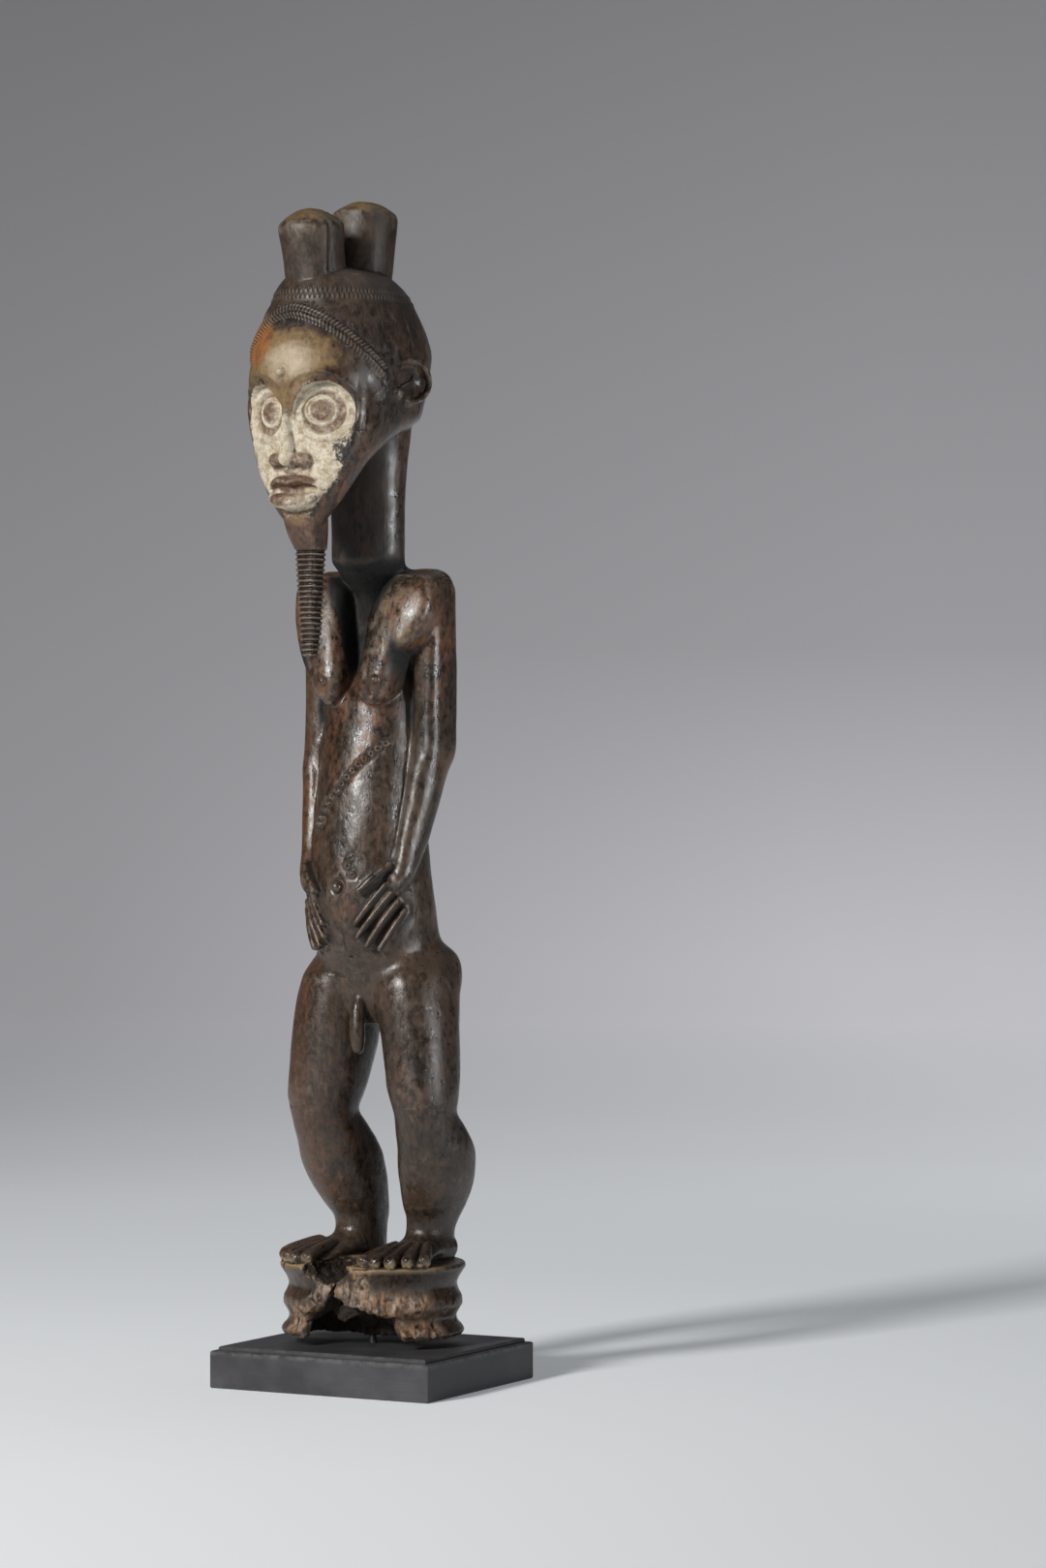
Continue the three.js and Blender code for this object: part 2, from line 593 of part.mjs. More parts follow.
const sculpture = new THREE.Group();
const turned = new THREE.Group();
turned.rotation.z = radians(FIGURE_TURN);
turned.add(named("carved_figure", asGeometry(carvedFigure()), patinatedWood));
sculpture.add(
  turned,
  named("mount_pin", mountPin(), darkSteel),
  named("display_block", asGeometry(displayBlock()), blackPaint),
);

export default sculpture;
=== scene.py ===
"""A standing bearded figure, carved with its ringed base from one block of wood, on its black block.

The figure is shaped in millimetres in its own frame: its front faces -Y, its left side is +X and
the origin is the middle of the block's underside. It is turned on its base and scaled to metres
at the end. Round sections are lofted, joined into one skin, eased where the carver rounded them,
and then carved: eyes, scars, hair, nails, cracks and the torn wood of the broken base.
"""
import math

import bmesh
import bpy
import numpy as np
from mathutils import Matrix, Vector


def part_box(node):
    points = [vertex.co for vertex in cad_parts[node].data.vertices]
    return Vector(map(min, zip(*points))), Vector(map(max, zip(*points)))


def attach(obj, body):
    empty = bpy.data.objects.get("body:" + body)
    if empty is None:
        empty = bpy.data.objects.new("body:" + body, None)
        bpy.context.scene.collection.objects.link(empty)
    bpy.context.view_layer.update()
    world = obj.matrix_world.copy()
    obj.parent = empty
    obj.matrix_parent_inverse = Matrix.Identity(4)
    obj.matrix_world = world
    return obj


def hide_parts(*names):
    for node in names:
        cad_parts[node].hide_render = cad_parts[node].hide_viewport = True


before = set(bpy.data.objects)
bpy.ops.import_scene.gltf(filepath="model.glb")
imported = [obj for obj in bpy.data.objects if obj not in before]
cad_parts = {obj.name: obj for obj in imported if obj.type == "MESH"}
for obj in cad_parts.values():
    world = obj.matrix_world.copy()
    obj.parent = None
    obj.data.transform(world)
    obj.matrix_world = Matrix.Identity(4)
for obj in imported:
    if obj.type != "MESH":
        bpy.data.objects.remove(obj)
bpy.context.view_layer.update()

MILLIMETRE = 0.001
FIGURE_TURN = -4

# Fineness of the figure's skin
BODY_STEP = 0.9
SKIN_STEP = 0.46
FIGURE_TRIANGLES = 196_000

# Ringed base: half width, half depth, and the share of them at each height
BASE_HALF_WIDTH = 47
BASE_HALF_DEPTH = 43
BASE_TOP = 61
BASE_RINGS = [
    (25.2, 0.955), (27.2, 0.985), (29.2, 0.965), (31.8, 0.915), (34.4, 0.9), (37.4, 0.93),
    (40.5, 0.965), (43.5, 0.96), (46.8, 0.925), (50, 0.905), (53, 0.925), (56.4, 0.97), (58.8, 1),
    (60.4, 0.99), (61.2, 0.93), (62.2, 0.6), (63, 0.2),
]

# Level sections of the body: height, centre x, half width, front y, back y
TORSO = [
    (178, 0, 18, -8, 20), (186, 0, 28, -12, 28), (196, 0, 32, -16, 33), (207, 0, 32, -20, 35),
    (216, 0, 31, -25, 35.5), (230, 0, 31, -30, 32.5), (245, 0, 30, -31.5, 29.5),
    (267, 0, 28.5, -29.5, 26), (290, 0, 27.5, -26.5, 22.5), (324, 0, 25.5, -20, 18),
    (335, 0, 25, -18.5, 17.5), (345, 0, 24.5, -12, 17.5), (357, 0, 24.5, -5, 17.5),
    (399, 0, 24, -1, 14),
]
SHOULDERS = [
    (362, 0, 34, 0, 16), (372, 0, 39.5, 0, 17.5), (388, 0, 40.5, 0, 17.5), (395, 0, 39.5, 0, 17),
    (399, 0, 37, 0, 15.5), (401, 0, 32, 0, 14),
]
LEFT_CHEST = [
    (334.5, 13, 3, -21, -5), (340, 13.2, 8, -24, 0), (347, 14, 9.2, -24.5, 5), (358, 16, 10.8, -23, 5),
    (368, 21.5, 15.6, -21, 5), (379, 24, 17.6, -18.5, 5), (391, 26.8, 15, -14.5, 5),
    (398, 28, 10, -10.5, 5),
]
RIGHT_CHEST = [
    (334.5, -12, 3, -21, -5), (340, -13, 7, -24, 0), (347, -14.4, 10, -24.5, 5),
    (357, -17.5, 12.4, -23.5, 5), (376, -22.2, 14, -20, 5), (391, -25, 14, -14.5, 5),
    (398, -28, 8.5, -10.5, 5),
]
NECK = [
    (340, 0, 3.5, -16, 0), (352, 0, 4, -9, 4), (370, 0, 6, -3, 8), (386, 0, 10, -3.5, 10),
    (399, 0, 17, -12, 10.5), (406, 0, 19.5, -18.5, 10.5), (430, 0, 19.5, -19.5, 11),
    (455, 0, 20.5, -21, 13.5), (470, 0, 22, -24, 16), (480, 0, 20, -22, 12),
]
RIGHT_ARM_INSET = 1.6
UPPER_ARM = [
    (304, 32.6, 7.6, -7, 14.5), (311, 32.8, 8.4, -8, 17), (320, 33, 8, -7, 17.5),
    (345, 33, 7.8, -6.5, 18), (376, 33, 8, -6.5, 17.5), (390, 33, 7.6, -6, 17), (397, 32.5, 6, -4, 14),
]
FOREARM = [
    (243, 24.6, 3.6, -21, -12), (248, 25.2, 6.2, -21.6, -9), (254, 26.2, 7, -20.5, -5.5),
    (262, 27.3, 6.8, -18, -0.5), (270, 28, 7.2, -16.5, 4), (280, 28.8, 8, -14.5, 7.5),
    (294, 30.3, 8.6, -11.5, 12), (305, 32, 8.4, -10, 15), (314, 32.6, 7, -7, 14),
]
# The right leg is a little thicker than the left one
LEFT_THIGH = [
    (123, 30.2, 7, -10, 6), (128, 30.8, 11.4, -13.5, 11), (134, 31, 14.3, -16.8, 15.5),
    (149, 29.3, 17.1, -19, 20.5), (171, 26.4, 18.4, -19, 24), (190, 22.8, 20, -18.5, 28.5),
    (200, 20.5, 21, -17.5, 33.5), (206, 19.5, 20, -14, 35.5), (212, 18.5, 17.5, -9, 35),
    (217, 17, 11, -1, 31),
]
RIGHT_THIGH = [
    (123, -29.6, 7.6, -10, 7), (128, -29.4, 13, -13.5, 12), (134, -29.2, 16.6, -16.8, 17),
    (149, -27.2, 19.8, -19.5, 22), (171, -24.2, 21.2, -19.5, 25.5), (190, -22.2, 20.8, -18.5, 28.5),
    (200, -20.5, 21, -17.5, 33.5), (206, -19.5, 20, -14, 35.5), (212, -18.5, 17.5, -9, 35),
    (217, -17, 11, -1, 31),
]
LEFT_CALF = [
    (59, 20.4, 11.8, 2, 34), (74.4, 20.7, 11, 5.5, 34), (80, 21.5, 11.7, 5.5, 35.8),
    (87.8, 23.9, 14.2, 0.5, 37.4), (95.4, 26.1, 16.1, -3.5, 37.8), (103, 27.9, 17.2, -7, 37.2),
    (110.7, 29.1, 17.5, -9.5, 36.2), (118, 30, 16.9, -11.5, 33), (126, 30.4, 15.7, -14.5, 26),
    (131, 30.7, 15, -15.8, 21), (136, 31, 13.3, -15.4, 15), (141, 30.6, 8.6, -10, 8),
]
RIGHT_CALF = [
    (59, -20, 12.4, 2, 34), (74.4, -20.2, 11.8, 5.5, 34.4), (80, -20.8, 12.7, 5.5, 36),
    (87.8, -23, 15.2, 0.5, 37.6), (95.4, -25, 17.4, -3.5, 38), (103, -26.4, 18.9, -7, 37.6),
    (110.7, -27.5, 19.3, -9.5, 36.4), (118, -28.5, 18.6, -11.5, 33), (126, -29.1, 17.3, -14.5, 26),
    (131, -29.4, 16.6, -15.8, 21.5), (136, -29.8, 14.6, -15.4, 16), (141, -29.8, 9.4, -10, 9),
]
HEAD = [
    (417, 0, 6, -60, -52), (421, 0, 9.5, -64.5, -51.5), (427, 0, 14.5, -67, -49),
    (436, 0, 21, -69, -44), (449, 0, 28, -70.5, -36), (457, 0, 31.5, -71.5, -25),
    (466, 0, 34.3, -72.5, -8), (474, 0, 36.3, -75, 13), (482, 0, 38, -78, 17),
    (493, 0, 39.6, -79.5, 22.5), (504, 0, 39.5, -78, 25), (515, 0, 37.7, -73, 21.5),
    (524, 0, 34.9, -69.4, 16), (529.5, 0.6, 31.8, -67, 12.8), (535, 0.8, 29.2, -65, 8.6),
    (540.5, 0.6, 24, -61.6, 4.5), (544, 0, 19, -57, 0), (546.5, 0, 10, -48, -10),
]
FACE_MIDDLE, FACE_TOP, FACE_SQUARENESS = 470, 500, 2.3

# Bun sections: y, height, radius
FRONT_BUN = [
    (-48, 532, 14.2), (-50.5, 548, 14.8), (-53.6, 564.6, 16.2), (-53.8, 566, 15.8), (-54, 568.6, 13),
    (-54.2, 571.8, 8), (-54.4, 574, 2.4),
]
REAR_BUN = [
    (-10.5, 541, 15.4), (-9, 556, 15.8), (-6.8, 573.4, 16.2), (-6.6, 574.8, 15.8), (-6.4, 577.4, 13),
    (-6.2, 580, 8), (-6, 581.6, 2.4),
]
BUN_GROOVE_ANGLE = 72
BUN_GROOVE_SPAN = (541, 566)
BUN_GROOVE_Y = -52.5

# Hair: two cords from ear to ear below a double circlet
CIRCLET_HEIGHTS = (530.2, 533.2)
CORD_TOP, CORD_EAR, CORD_REACH, CORD_CURVE = 521.5, 491, 72, 1.7
CORD_PITCH = 4
CORD_RADIUS = 1.5
HATCH_PITCH = 2
TICK_PITCH = 1.9

# Beard: a square bar with rings cut round it
BEARD_TOP, BEARD_TIP, BEARD_Y = 424, 356, -54
BEARD_RING_PITCH = 2.56
BEARD_RING_START = 409
BEARD_GROOVE = 1.2
BEARD_HALF, BEARD_TIP_HALF = 6.5, 3.5

# Eyes: the middle of each goggle and its outward turn in degrees, by side; half width and half height
EYES = {1: (17.4, -67.6, 473.6, 23), -1: (-15.4, -68.6, 473.6, 19)}
GOGGLE_HALF = (14.8, 14.2)
LID_HALF = (7.4, 6.6)
LID_SHIFT = (-1.6, 1)

# Ear
EAR_Y, EAR_HEIGHT, EAR_X = -25.6, 490.5, 40.4
EAR_HALF_LENGTH, EAR_HALF_HEIGHT = 15, 10

NAVEL = (0.4, -32, 245.4)
LOINS = (1, -14, 176)

FORWARD = (0, -1, 0)
UPWARD = (0, 0, 1)
SIDES = (1, -1)
# Distance given to vertices that are too far from a path to be measured
OUT_OF_REACH = 1000


# Reading of section lists, and curves that shape and shade

def read(stations, heights):
    """Columns of a station list at many heights, without overshoot between stations."""
    table = np.array(stations, float)
    level, columns = table[:, 0], table[:, 1:]
    slope = np.diff(columns, axis=0) / np.diff(level)[:, None]
    product, total = slope[:-1] * slope[1:], slope[:-1] + slope[1:]
    bend = np.where(product > 0, 2 * product / np.where(total == 0, 1, total), 0)
    tangent = np.vstack([slope[:1], bend, slope[-1:]])
    i = np.clip(np.searchsorted(level, heights, side="right") - 1, 0, len(level) - 2)
    span = (level[i + 1] - level[i])[:, None]
    u = (heights - level[i])[:, None] / span
    start = (1 - u) ** 2 * (columns[i] * (1 + 2 * u) + u * span * tangent[i])
    end = u**2 * (columns[i + 1] * (3 - 2 * u) - (1 - u) * span * tangent[i + 1])
    return start + end


def squared(u, squareness):
    """Swaps a round section's corner for a squarer one, 2 being a plain ellipse."""
    return np.sign(u) * np.abs(u) ** (2 / squareness)


def rise(value, low, high):
    """0 below low, 1 above high, smooth between."""
    t = np.clip((value - low) / (high - low), 0, 1)
    return t * t * (3 - 2 * t)


def fall(value, low, high):
    """1 below low, 0 above high, smooth between."""
    return 1 - rise(value, low, high)


def window(value, start, full, still, end):
    """1 from full to still, 0 before start and after end."""
    return rise(value, start, full) * fall(value, still, end)


def bell(distance, width, power=2):
    """1 at no distance, about 0 from two widths on."""
    return np.exp(-((distance / width) ** power))


def away(spots, centre, radii=1):
    """Distance from a point, in radii."""
    return np.linalg.norm((spots - centre) / radii, axis=1)


def oval(a, b, middle_a, middle_b, half_a, half_b, low, high, share=1):
    """A share inside an oval, none outside it; low and high are the radii where it fades."""
    return share * fall(np.hypot((a - middle_a) / half_a, (b - middle_b) / half_b), low, high)


def follow(table, heights):
    """Values of a table at many heights, on straight lines."""
    return np.interp(heights, *np.array(table).T)


def head_squareness(height):
    """The face is squarer in plan than the round skull above it."""
    return FACE_SQUARENESS + (2 - FACE_SQUARENESS) * rise(height, FACE_MIDDLE, FACE_TOP)


def on_head(angle, height):
    """Points on the head at angles in degrees from the front towards the left ear."""
    angle = np.radians(angle)
    x, half_width, front, back = read(HEAD, height).T
    across = squared(np.sin(angle), head_squareness(height))
    ahead = squared(np.cos(angle), head_squareness(height))
    return np.stack([x + half_width * across, (front + back) / 2 - (back - front) / 2 * ahead, height], 1)


def cord_line(shift, step=6):
    """The line of a hair cord from ear to ear."""
    angle = np.arange(-CORD_REACH, CORD_REACH + 1, step, dtype=float)
    drop = (CORD_TOP - CORD_EAR) * (np.abs(angle) / CORD_REACH) ** CORD_CURVE
    return on_head(angle, CORD_TOP - drop + shift)


def other_side(stations, inset=0):
    return [(height, inset - x, *rest) for height, x, *rest in stations]


def mirrored(points):
    return [(-x, *rest) for x, *rest in points]


def there_and_back(points):
    """A path to its middle, and on as its own mirror image."""
    return points + mirrored(points[-2::-1])


def run_along(path):
    """Length of a path up to each of its points."""
    return np.concatenate([[0], np.cumsum(np.linalg.norm(np.diff(path, axis=0), axis=1))])


# Solids

def moved(bm, place):
    """Moves all vertices by one function of their places."""
    spots = np.array([v.co for v in bm.verts])
    for vertex, spot in zip(bm.verts, place(spots)):
        vertex.co = spot
    return bm


def spun(outline, around):
    """An outline of radii and heights, spun round the Z axis."""
    bm = bmesh.new()
    corners = [bm.verts.new((radius, 0, height)) for radius, height in outline]
    edges = [bm.edges.new(pair) for pair in zip(corners, corners[1:])]
    bmesh.ops.spin(bm, geom=corners + edges, cent=(0, 0, 0), axis=(0, 0, 1), angle=math.tau,
                   steps=around, use_merge=True)
    bmesh.ops.remove_doubles(bm, verts=bm.verts, dist=1e-4)
    bmesh.ops.recalc_face_normals(bm, faces=bm.faces)
    return bm


def drum(around, rows):
    """A closed drum of unit radius, one unit high for each row."""
    return spun([(0, 0), *((1, row) for row in range(rows + 1)), (0, rows)], around)


def upright(stations, around=48, squareness=2, swell=None, pitch=1.5):
    """A closed solid of level sections."""
    bottom, top = stations[0][0], stations[-1][0]
    rows = max(4, round((top - bottom) / pitch))

    def place(spots):
        height = bottom + spots[:, 2] * (top - bottom) / rows
        x, half_width, front, back = read(stations, height).T
        corner = squareness(height) if callable(squareness) else squareness
        rim = swell(height) if swell else 0
        across = (half_width + rim) * squared(spots[:, 0], corner)
        ahead = ((back - front) / 2 + rim) * squared(spots[:, 1], corner)
        return np.stack([x + across, (front + back) / 2 + ahead, height], 1)

    return moved(drum(around, rows), place)


def limb(points, face, around=16, pitch=0.8, tip=1.5, squareness=2):
    """A closed solid along a path of (x, y, z, half width, half thickness), its thickness towards face."""
    points = np.array(points, float)
    run = run_along(points[:, :3])
    stations = np.column_stack([run, points])
    rows = max(6, round(run[-1] / pitch))
    nudge = 0.1

    def place(spots):
        share = spots[:, 2] * run[-1] / rows
        line = read(stations, share)
        after, before = np.minimum(share + nudge, run[-1]), np.maximum(share - nudge, 0)
        ahead = (read(stations, after) - read(stations, before))[:, :3]
        ahead /= np.linalg.norm(ahead, axis=1)[:, None]
        side = np.cross(ahead, face)
        side /= np.linalg.norm(side, axis=1)[:, None]
        up = np.cross(side, ahead)
        end = np.clip(np.minimum(share, run[-1] - share) / tip, 0.02, 1)
        rounded = np.sqrt(1 - (1 - end) ** 2)
        across = line[:, 3] * rounded * squared(spots[:, 0], squareness)
        out = line[:, 4] * rounded * squared(spots[:, 1], squareness)
        return line[:, :3] + side * across[:, None] + up * out[:, None]

    return moved(drum(around, rows), place)


def ball(centre, radii, yaw=0, subdivisions=4):
    bm = bmesh.new()
    bmesh.ops.create_icosphere(bm, subdivisions=subdivisions, radius=1)
    turn = Matrix.Rotation(math.radians(yaw), 4, "Z")
    shape = Matrix.Translation(centre) @ turn @ Matrix.Diagonal((*radii, 1))
    bmesh.ops.transform(bm, matrix=shape, verts=bm.verts)
    return bm


# Seeded lattice noise, for torn wood and tool marks

LATTICE = 32
lattice = np.random.default_rng(7).random((LATTICE, LATTICE, LATTICE))


def noise(spots, size, shift=0):
    """Smooth noise from -1 to 1, its lumps about one size across. Size may be given for each axis."""
    place = spots / np.array(size, float) + shift
    corner = np.floor(place).astype(int)
    t = place - corner
    t = t * t * (3 - 2 * t)
    total = np.zeros(len(spots))
    for dx in (0, 1):
        for dy in (0, 1):
            for dz in (0, 1):
                i, j, k = ((corner + (dx, dy, dz)) % LATTICE).T
                share = abs(1 - dx - t[:, 0]) * abs(1 - dy - t[:, 1]) * abs(1 - dz - t[:, 2])
                total += share * lattice[i, j, k]
    return total * 2 - 1


def torn(spots, depth, size=5):
    """Shift of torn wood: lumps, and splinters that run up and down."""
    lumps = noise(spots, size, 3.1) * 0.6
    splinters = noise(spots, (size * 0.3, size * 0.3, size * 1.6), 8.7) * 0.5
    return depth * (lumps + splinters)


# Parts of the figure

def skull():
    def rim(height):
        return sum(0.6 * bell(height - centre, 0.9) for centre in CIRCLET_HEIGHTS)

    return upright(HEAD, 96, head_squareness, rim, pitch=0.8)


def bun(sections):
    path = [(0, y, height, radius, radius) for y, height, radius in sections]
    return limb(path, FORWARD, 48, 0.8, tip=0.05)


def hair_cord(shift):
    return limb([(*spot, CORD_RADIUS, CORD_RADIUS) for spot in cord_line(shift)], UPWARD, 12)


def ear(side):
    angles = [math.radians(angle) for angle in range(-100, 151, 20)]
    rim = [
        (side * (EAR_X - 0.4 - 0.004 * (math.degrees(a) - 20) ** 2 / 20),
         EAR_Y + EAR_HALF_LENGTH * math.cos(a), EAR_HEIGHT + EAR_HALF_HEIGHT * math.sin(a), 1.3, 1.9)
        for a in angles
    ]
    fold = [
        (side * (EAR_X - 2.4), EAR_Y - 7, EAR_HEIGHT - 4, 1, 1.2),
        (side * (EAR_X - 1.6), EAR_Y + 1, EAR_HEIGHT - 1, 1.4, 1.8),
        (side * (EAR_X - 2), EAR_Y + 7, EAR_HEIGHT + 4.4, 1, 1.4),
    ]
    lobe = ball((side * 37.4, EAR_Y - 8.6, EAR_HEIGHT - 6.4), (3, 3.4, 3))
    return [*(limb(path, (side, 0, 0), 16, 0.6) for path in (rim, fold)), lobe]


def nose():
    bridge = [
        (0, -76, 486, 1.6, 1.6), (0, -75.5, 480, 1.9, 2.2), (0, -74.6, 470, 2.1, 2.8),
        (0, -74.2, 461, 2.8, 3.2), (0, -74, 452, 4, 3.8),
    ]
    wings = [ball((side * 7.2, -70.6, 451.2), (5.4, 4.4, 4.1), side * 12) for side in SIDES]
    return [limb(bridge, FORWARD), ball((0, -73.6, 451.8), (4.7, 4.4, 4.4)), *wings]


def lips():
    upper = [
        (-14.4, -64.6, 437, 1.6, 2.6), (-11, -67.4, 439.8, 2.2, 3.2), (-6, -70.2, 441.4, 2.5, 3.7),
        (0, -71.8, 440.2, 1.9, 3.4),
    ]
    lower = [(-14.4, -64.6, 436.4, 1.6, 2.4), (-8.8, -68.6, 432.2, 3.1, 4.2), (0, -71.6, 431, 3.5, 5)]
    return [limb(there_and_back(path), FORWARD, 20, 0.6) for path in (upper, lower)]


def beard():
    def half(height):
        share = (height - BEARD_TIP) / (BEARD_RING_START - BEARD_TIP)
        return BEARD_TIP_HALF + (BEARD_HALF - BEARD_TIP_HALF) * share

    shares = ((BEARD_TIP, 0.5), (BEARD_TIP + 0.8, 0.85), (BEARD_TIP + 2.4, 1), (BEARD_RING_START, 1))
    ringed = [
        (height, 0, half(height) * share, BEARD_Y - half(height) * share, BEARD_Y + half(height) * share)
        for height, share in shares
    ]
    chin = [
        (BEARD_TOP - 12, 0, 7.1, BEARD_Y - 8.4, BEARD_Y + 6),
        (BEARD_TOP - 7, 0, 8, BEARD_Y - 11, BEARD_Y + 5.4),
        (BEARD_TOP, 0, 9.2, BEARD_Y - 12.4, BEARD_Y + 4.4),
    ]

    def rings(height):
        turn = np.cos(math.tau * (BEARD_RING_START - height) / BEARD_RING_PITCH)
        return np.where(height < BEARD_RING_START, -BEARD_GROOVE * (0.5 - 0.5 * turn) ** 0.7, 0)

    return upright(ringed + chin, 40, 6, rings, pitch=0.3)


# Hand laid on the belly: four long fingers slanting inwards and a thumb beside the navel
FINGERS = [
    [(22, -20.4, 247.5), (15.4, -26, 237), (8.4, -29.4, 226.4)],
    [(24, -18.6, 243), (16.4, -25, 231), (8.6, -28.2, 220)],
    [(26.4, -16.4, 239), (19.4, -22.4, 227), (12.6, -25.4, 215.6)],
    [(28.6, -13, 235), (23.6, -18.4, 224.4), (18, -22, 214)],
]
THUMB = [(25, -20.8, 257), (19, -27, 250.4), (12, -31.8, 242.4)]


def hand(side):
    outwards = (side * 0.55, -0.83, 0)

    def finger(points, half):
        path = [(side * x, y, z, half * share, 2.7 * share)
                for (x, y, z), share in zip(points, (1, 1, 0.95))]
        return limb(path, outwards, 16, 0.6, tip=1.4, squareness=3)

    back = ball((side * 25, -17.2, 248), (5.2, 5.4, 7), side * 40)
    return [*(finger(points, 1.55) for points in FINGERS), finger(THUMB, 1.9), back]


FOOT = [
    (23.4, 33, 65, 6, 5), (22.8, 28, 66, 9.5, 7), (21.5, 13, 66.4, 11.5, 7.4),
    (23.5, -3, 64.6, 13, 5.4), (26.5, -16, 62.6, 15, 3.4), (28.2, -25, 61.6, 15, 2.4),
]
TOE_TIPS = [(16.5, -35.6), (23.6, -36.2), (30.6, -32.4), (37, -26.2), (42.3, -18.2)]
TOE_ROOTS = [(18.4, -5), (21.6, -4), (24.8, -2.4), (28, -0.4), (31, 2.4)]


def toes(side):
    parts = []
    for index, ((tip_x, tip_y), (root_x, root_y)) in enumerate(zip(TOE_TIPS, TOE_ROOTS)):
        half = 3.6 if index == 0 else 3.2
        path = [
            (side * root_x, root_y, 69.8, 1.8, 2.2),
            (side * (root_x * 2 + tip_x) / 3, (root_y * 2 + tip_y) / 3, 67.8, 2.4, 2.8),
            (side * (root_x + 2 * tip_x) / 3, (root_y + 2 * tip_y) / 3, 65.6, half * 0.9, 3.1),
            (side * tip_x, tip_y, 63, half, 2.8),
        ]
        parts.append(limb(path, UPWARD, 18, 0.6, tip=2.2, squareness=2.4))
    return parts


def body_forms():
    """The large forms, which are eased into each other before the details join them."""
    trunk = [
        (TORSO, 72, 2), (SHOULDERS, 72, 3.4), (LEFT_CHEST, 56, 3.6), (RIGHT_CHEST, 56, 3.6), (NECK, 56, 2),
        (UPPER_ARM, 48, 3), (other_side(UPPER_ARM, RIGHT_ARM_INSET), 48, 3),
        (FOREARM, 48, 2), (other_side(FOREARM), 48, 2),
        *((leg, 64, 2) for leg in (LEFT_THIGH, RIGHT_THIGH, LEFT_CALF, RIGHT_CALF)),
    ]
    feet = [limb([(side * x, *rest) for x, *rest in FOOT], UPWARD, 40, 1, tip=4) for side in SIDES]
    return [*(upright(*form) for form in trunk), *feet]


def body_details():
    loins = [
        (0, -10, 194, 3.4, 3.4), (0.5, -14, 185, 3.9, 3.9), (1, -15, 174, 3.9, 3.9),
        (1, -14.6, 163, 2.8, 2.8),
    ]
    chest_knobs = [ball(centre, (2.2, 2.2, 2.3)) for centre in ((17.4, -24.6, 346.4), (-13, -24.8, 345.8))]
    return [
        *hand(1), *hand(-1), *toes(1), *toes(-1), ball(NAVEL, (2.8, 2.8, 2.8)), *chest_knobs,
        ball((15.2, -24.2, 338), (1.4, 1.4, 1.4)), limb(loins, FORWARD, tip=3),
    ]


def head():
    return [
        skull(), *nose(), *lips(), *ear(1), *ear(-1), bun(FRONT_BUN), bun(REAR_BUN),
        hair_cord(0), hair_cord(CORD_PITCH), beard(), ball((0, -80, 492.8), (2.3, 2, 2.6)),
    ]


# Broken base. The outlines are angles round the base from +X in degrees, and heights; the breaches
# start outside the base, at this share of its half width and depth
OUTSIDE = 1.12
HOLLOW = [
    (-122, 18), (-116, 27), (-117, 33), (-110, 37.5), (-101, 41), (-94, 46), (-91, 49.5), (-87, 47.5),
    (-80, 44.4), (-69, 42), (-60, 40.2), (-52, 38), (-42, 37.4), (-38.6, 31), (-36, 24), (-30, 18),
]
TORN_FACE = [
    (-110, 68), (-108, 58), (-109, 50), (-101, 43), (-94, 42), (-88, 40), (-80, 41), (-70, 43),
    (-68, 50), (-71, 57), (-69, 68),
]
CRACK = [
    (-88, 68), (-86.6, 59), (-88.4, 54), (-90.5, 49), (-94, 42), (-88, 41), (-87, 49), (-85.4, 54),
    (-84.2, 59), (-84.8, 68),
]


def round_base(angle, height, share):
    """Places at angles in degrees round the base, at shares of its half width and depth."""
    angle = np.radians(angle)
    x, y = BASE_HALF_WIDTH * share * np.cos(angle), BASE_HALF_DEPTH * share * np.sin(angle)
    return np.stack([x, y, height], 1)


def breach(outline, reach, steps, narrow, roughness):
    """A cutter that starts outside the base as an outline and narrows inwards over some steps."""
    bm = bmesh.new()
    corners = [bm.verts.new((angle, height, OUTSIDE)) for angle, height in outline]
    face = bm.faces.new(corners)
    low = min(height for _, height in outline)
    for step in range(steps):
        grown = bmesh.ops.extrude_face_region(bm, geom=[face])["geom"]
        if step and face.is_valid:
            bmesh.ops.delete(bm, geom=[face], context="FACES_ONLY")
        face = next(item for item in grown if isinstance(item, bmesh.types.BMFace))
        centre = face.calc_center_median()
        for vertex in face.verts:
            vertex.co.x += (centre.x - vertex.co.x) * narrow
            vertex.co.y += (low - vertex.co.y) * narrow
            vertex.co.z -= (OUTSIDE - reach) / steps
    bmesh.ops.triangulate(bm, faces=bm.faces)
    bmesh.ops.subdivide_edges(bm, edges=bm.edges, cuts=3, use_grid_fill=True)

    def place(spots):
        angle, height, share = spots.T
        round_spots = round_base(angle, height, share)
        pull = torn(round_spots, roughness)
        lift = torn(round_spots + 40, roughness)
        return round_base(angle + 1.2 * pull, height + lift, share + pull / BASE_HALF_WIDTH)

    moved(bm, place)
    bmesh.ops.recalc_face_normals(bm, faces=bm.faces)
    if bm.calc_volume(signed=True) < 0:
        bmesh.ops.reverse_faces(bm, faces=bm.faces)
    return bm


def torn_ball(centre, radii, depth, size, shares):
    """A lobe of lost wood with torn walls, shifted along Y and Z by shares of the shift along X."""
    def place(spots):
        return spots + torn(spots, depth, size)[:, None] * (1, *shares)

    return moved(ball(centre, radii, subdivisions=5), place)


def whole_base():
    rings = [(height, 0, BASE_HALF_WIDTH * share, -BASE_HALF_DEPTH * share, BASE_HALF_DEPTH * share)
             for height, share in BASE_RINGS]
    return upright(rings, 160, pitch=0.6)


# From bmesh to objects

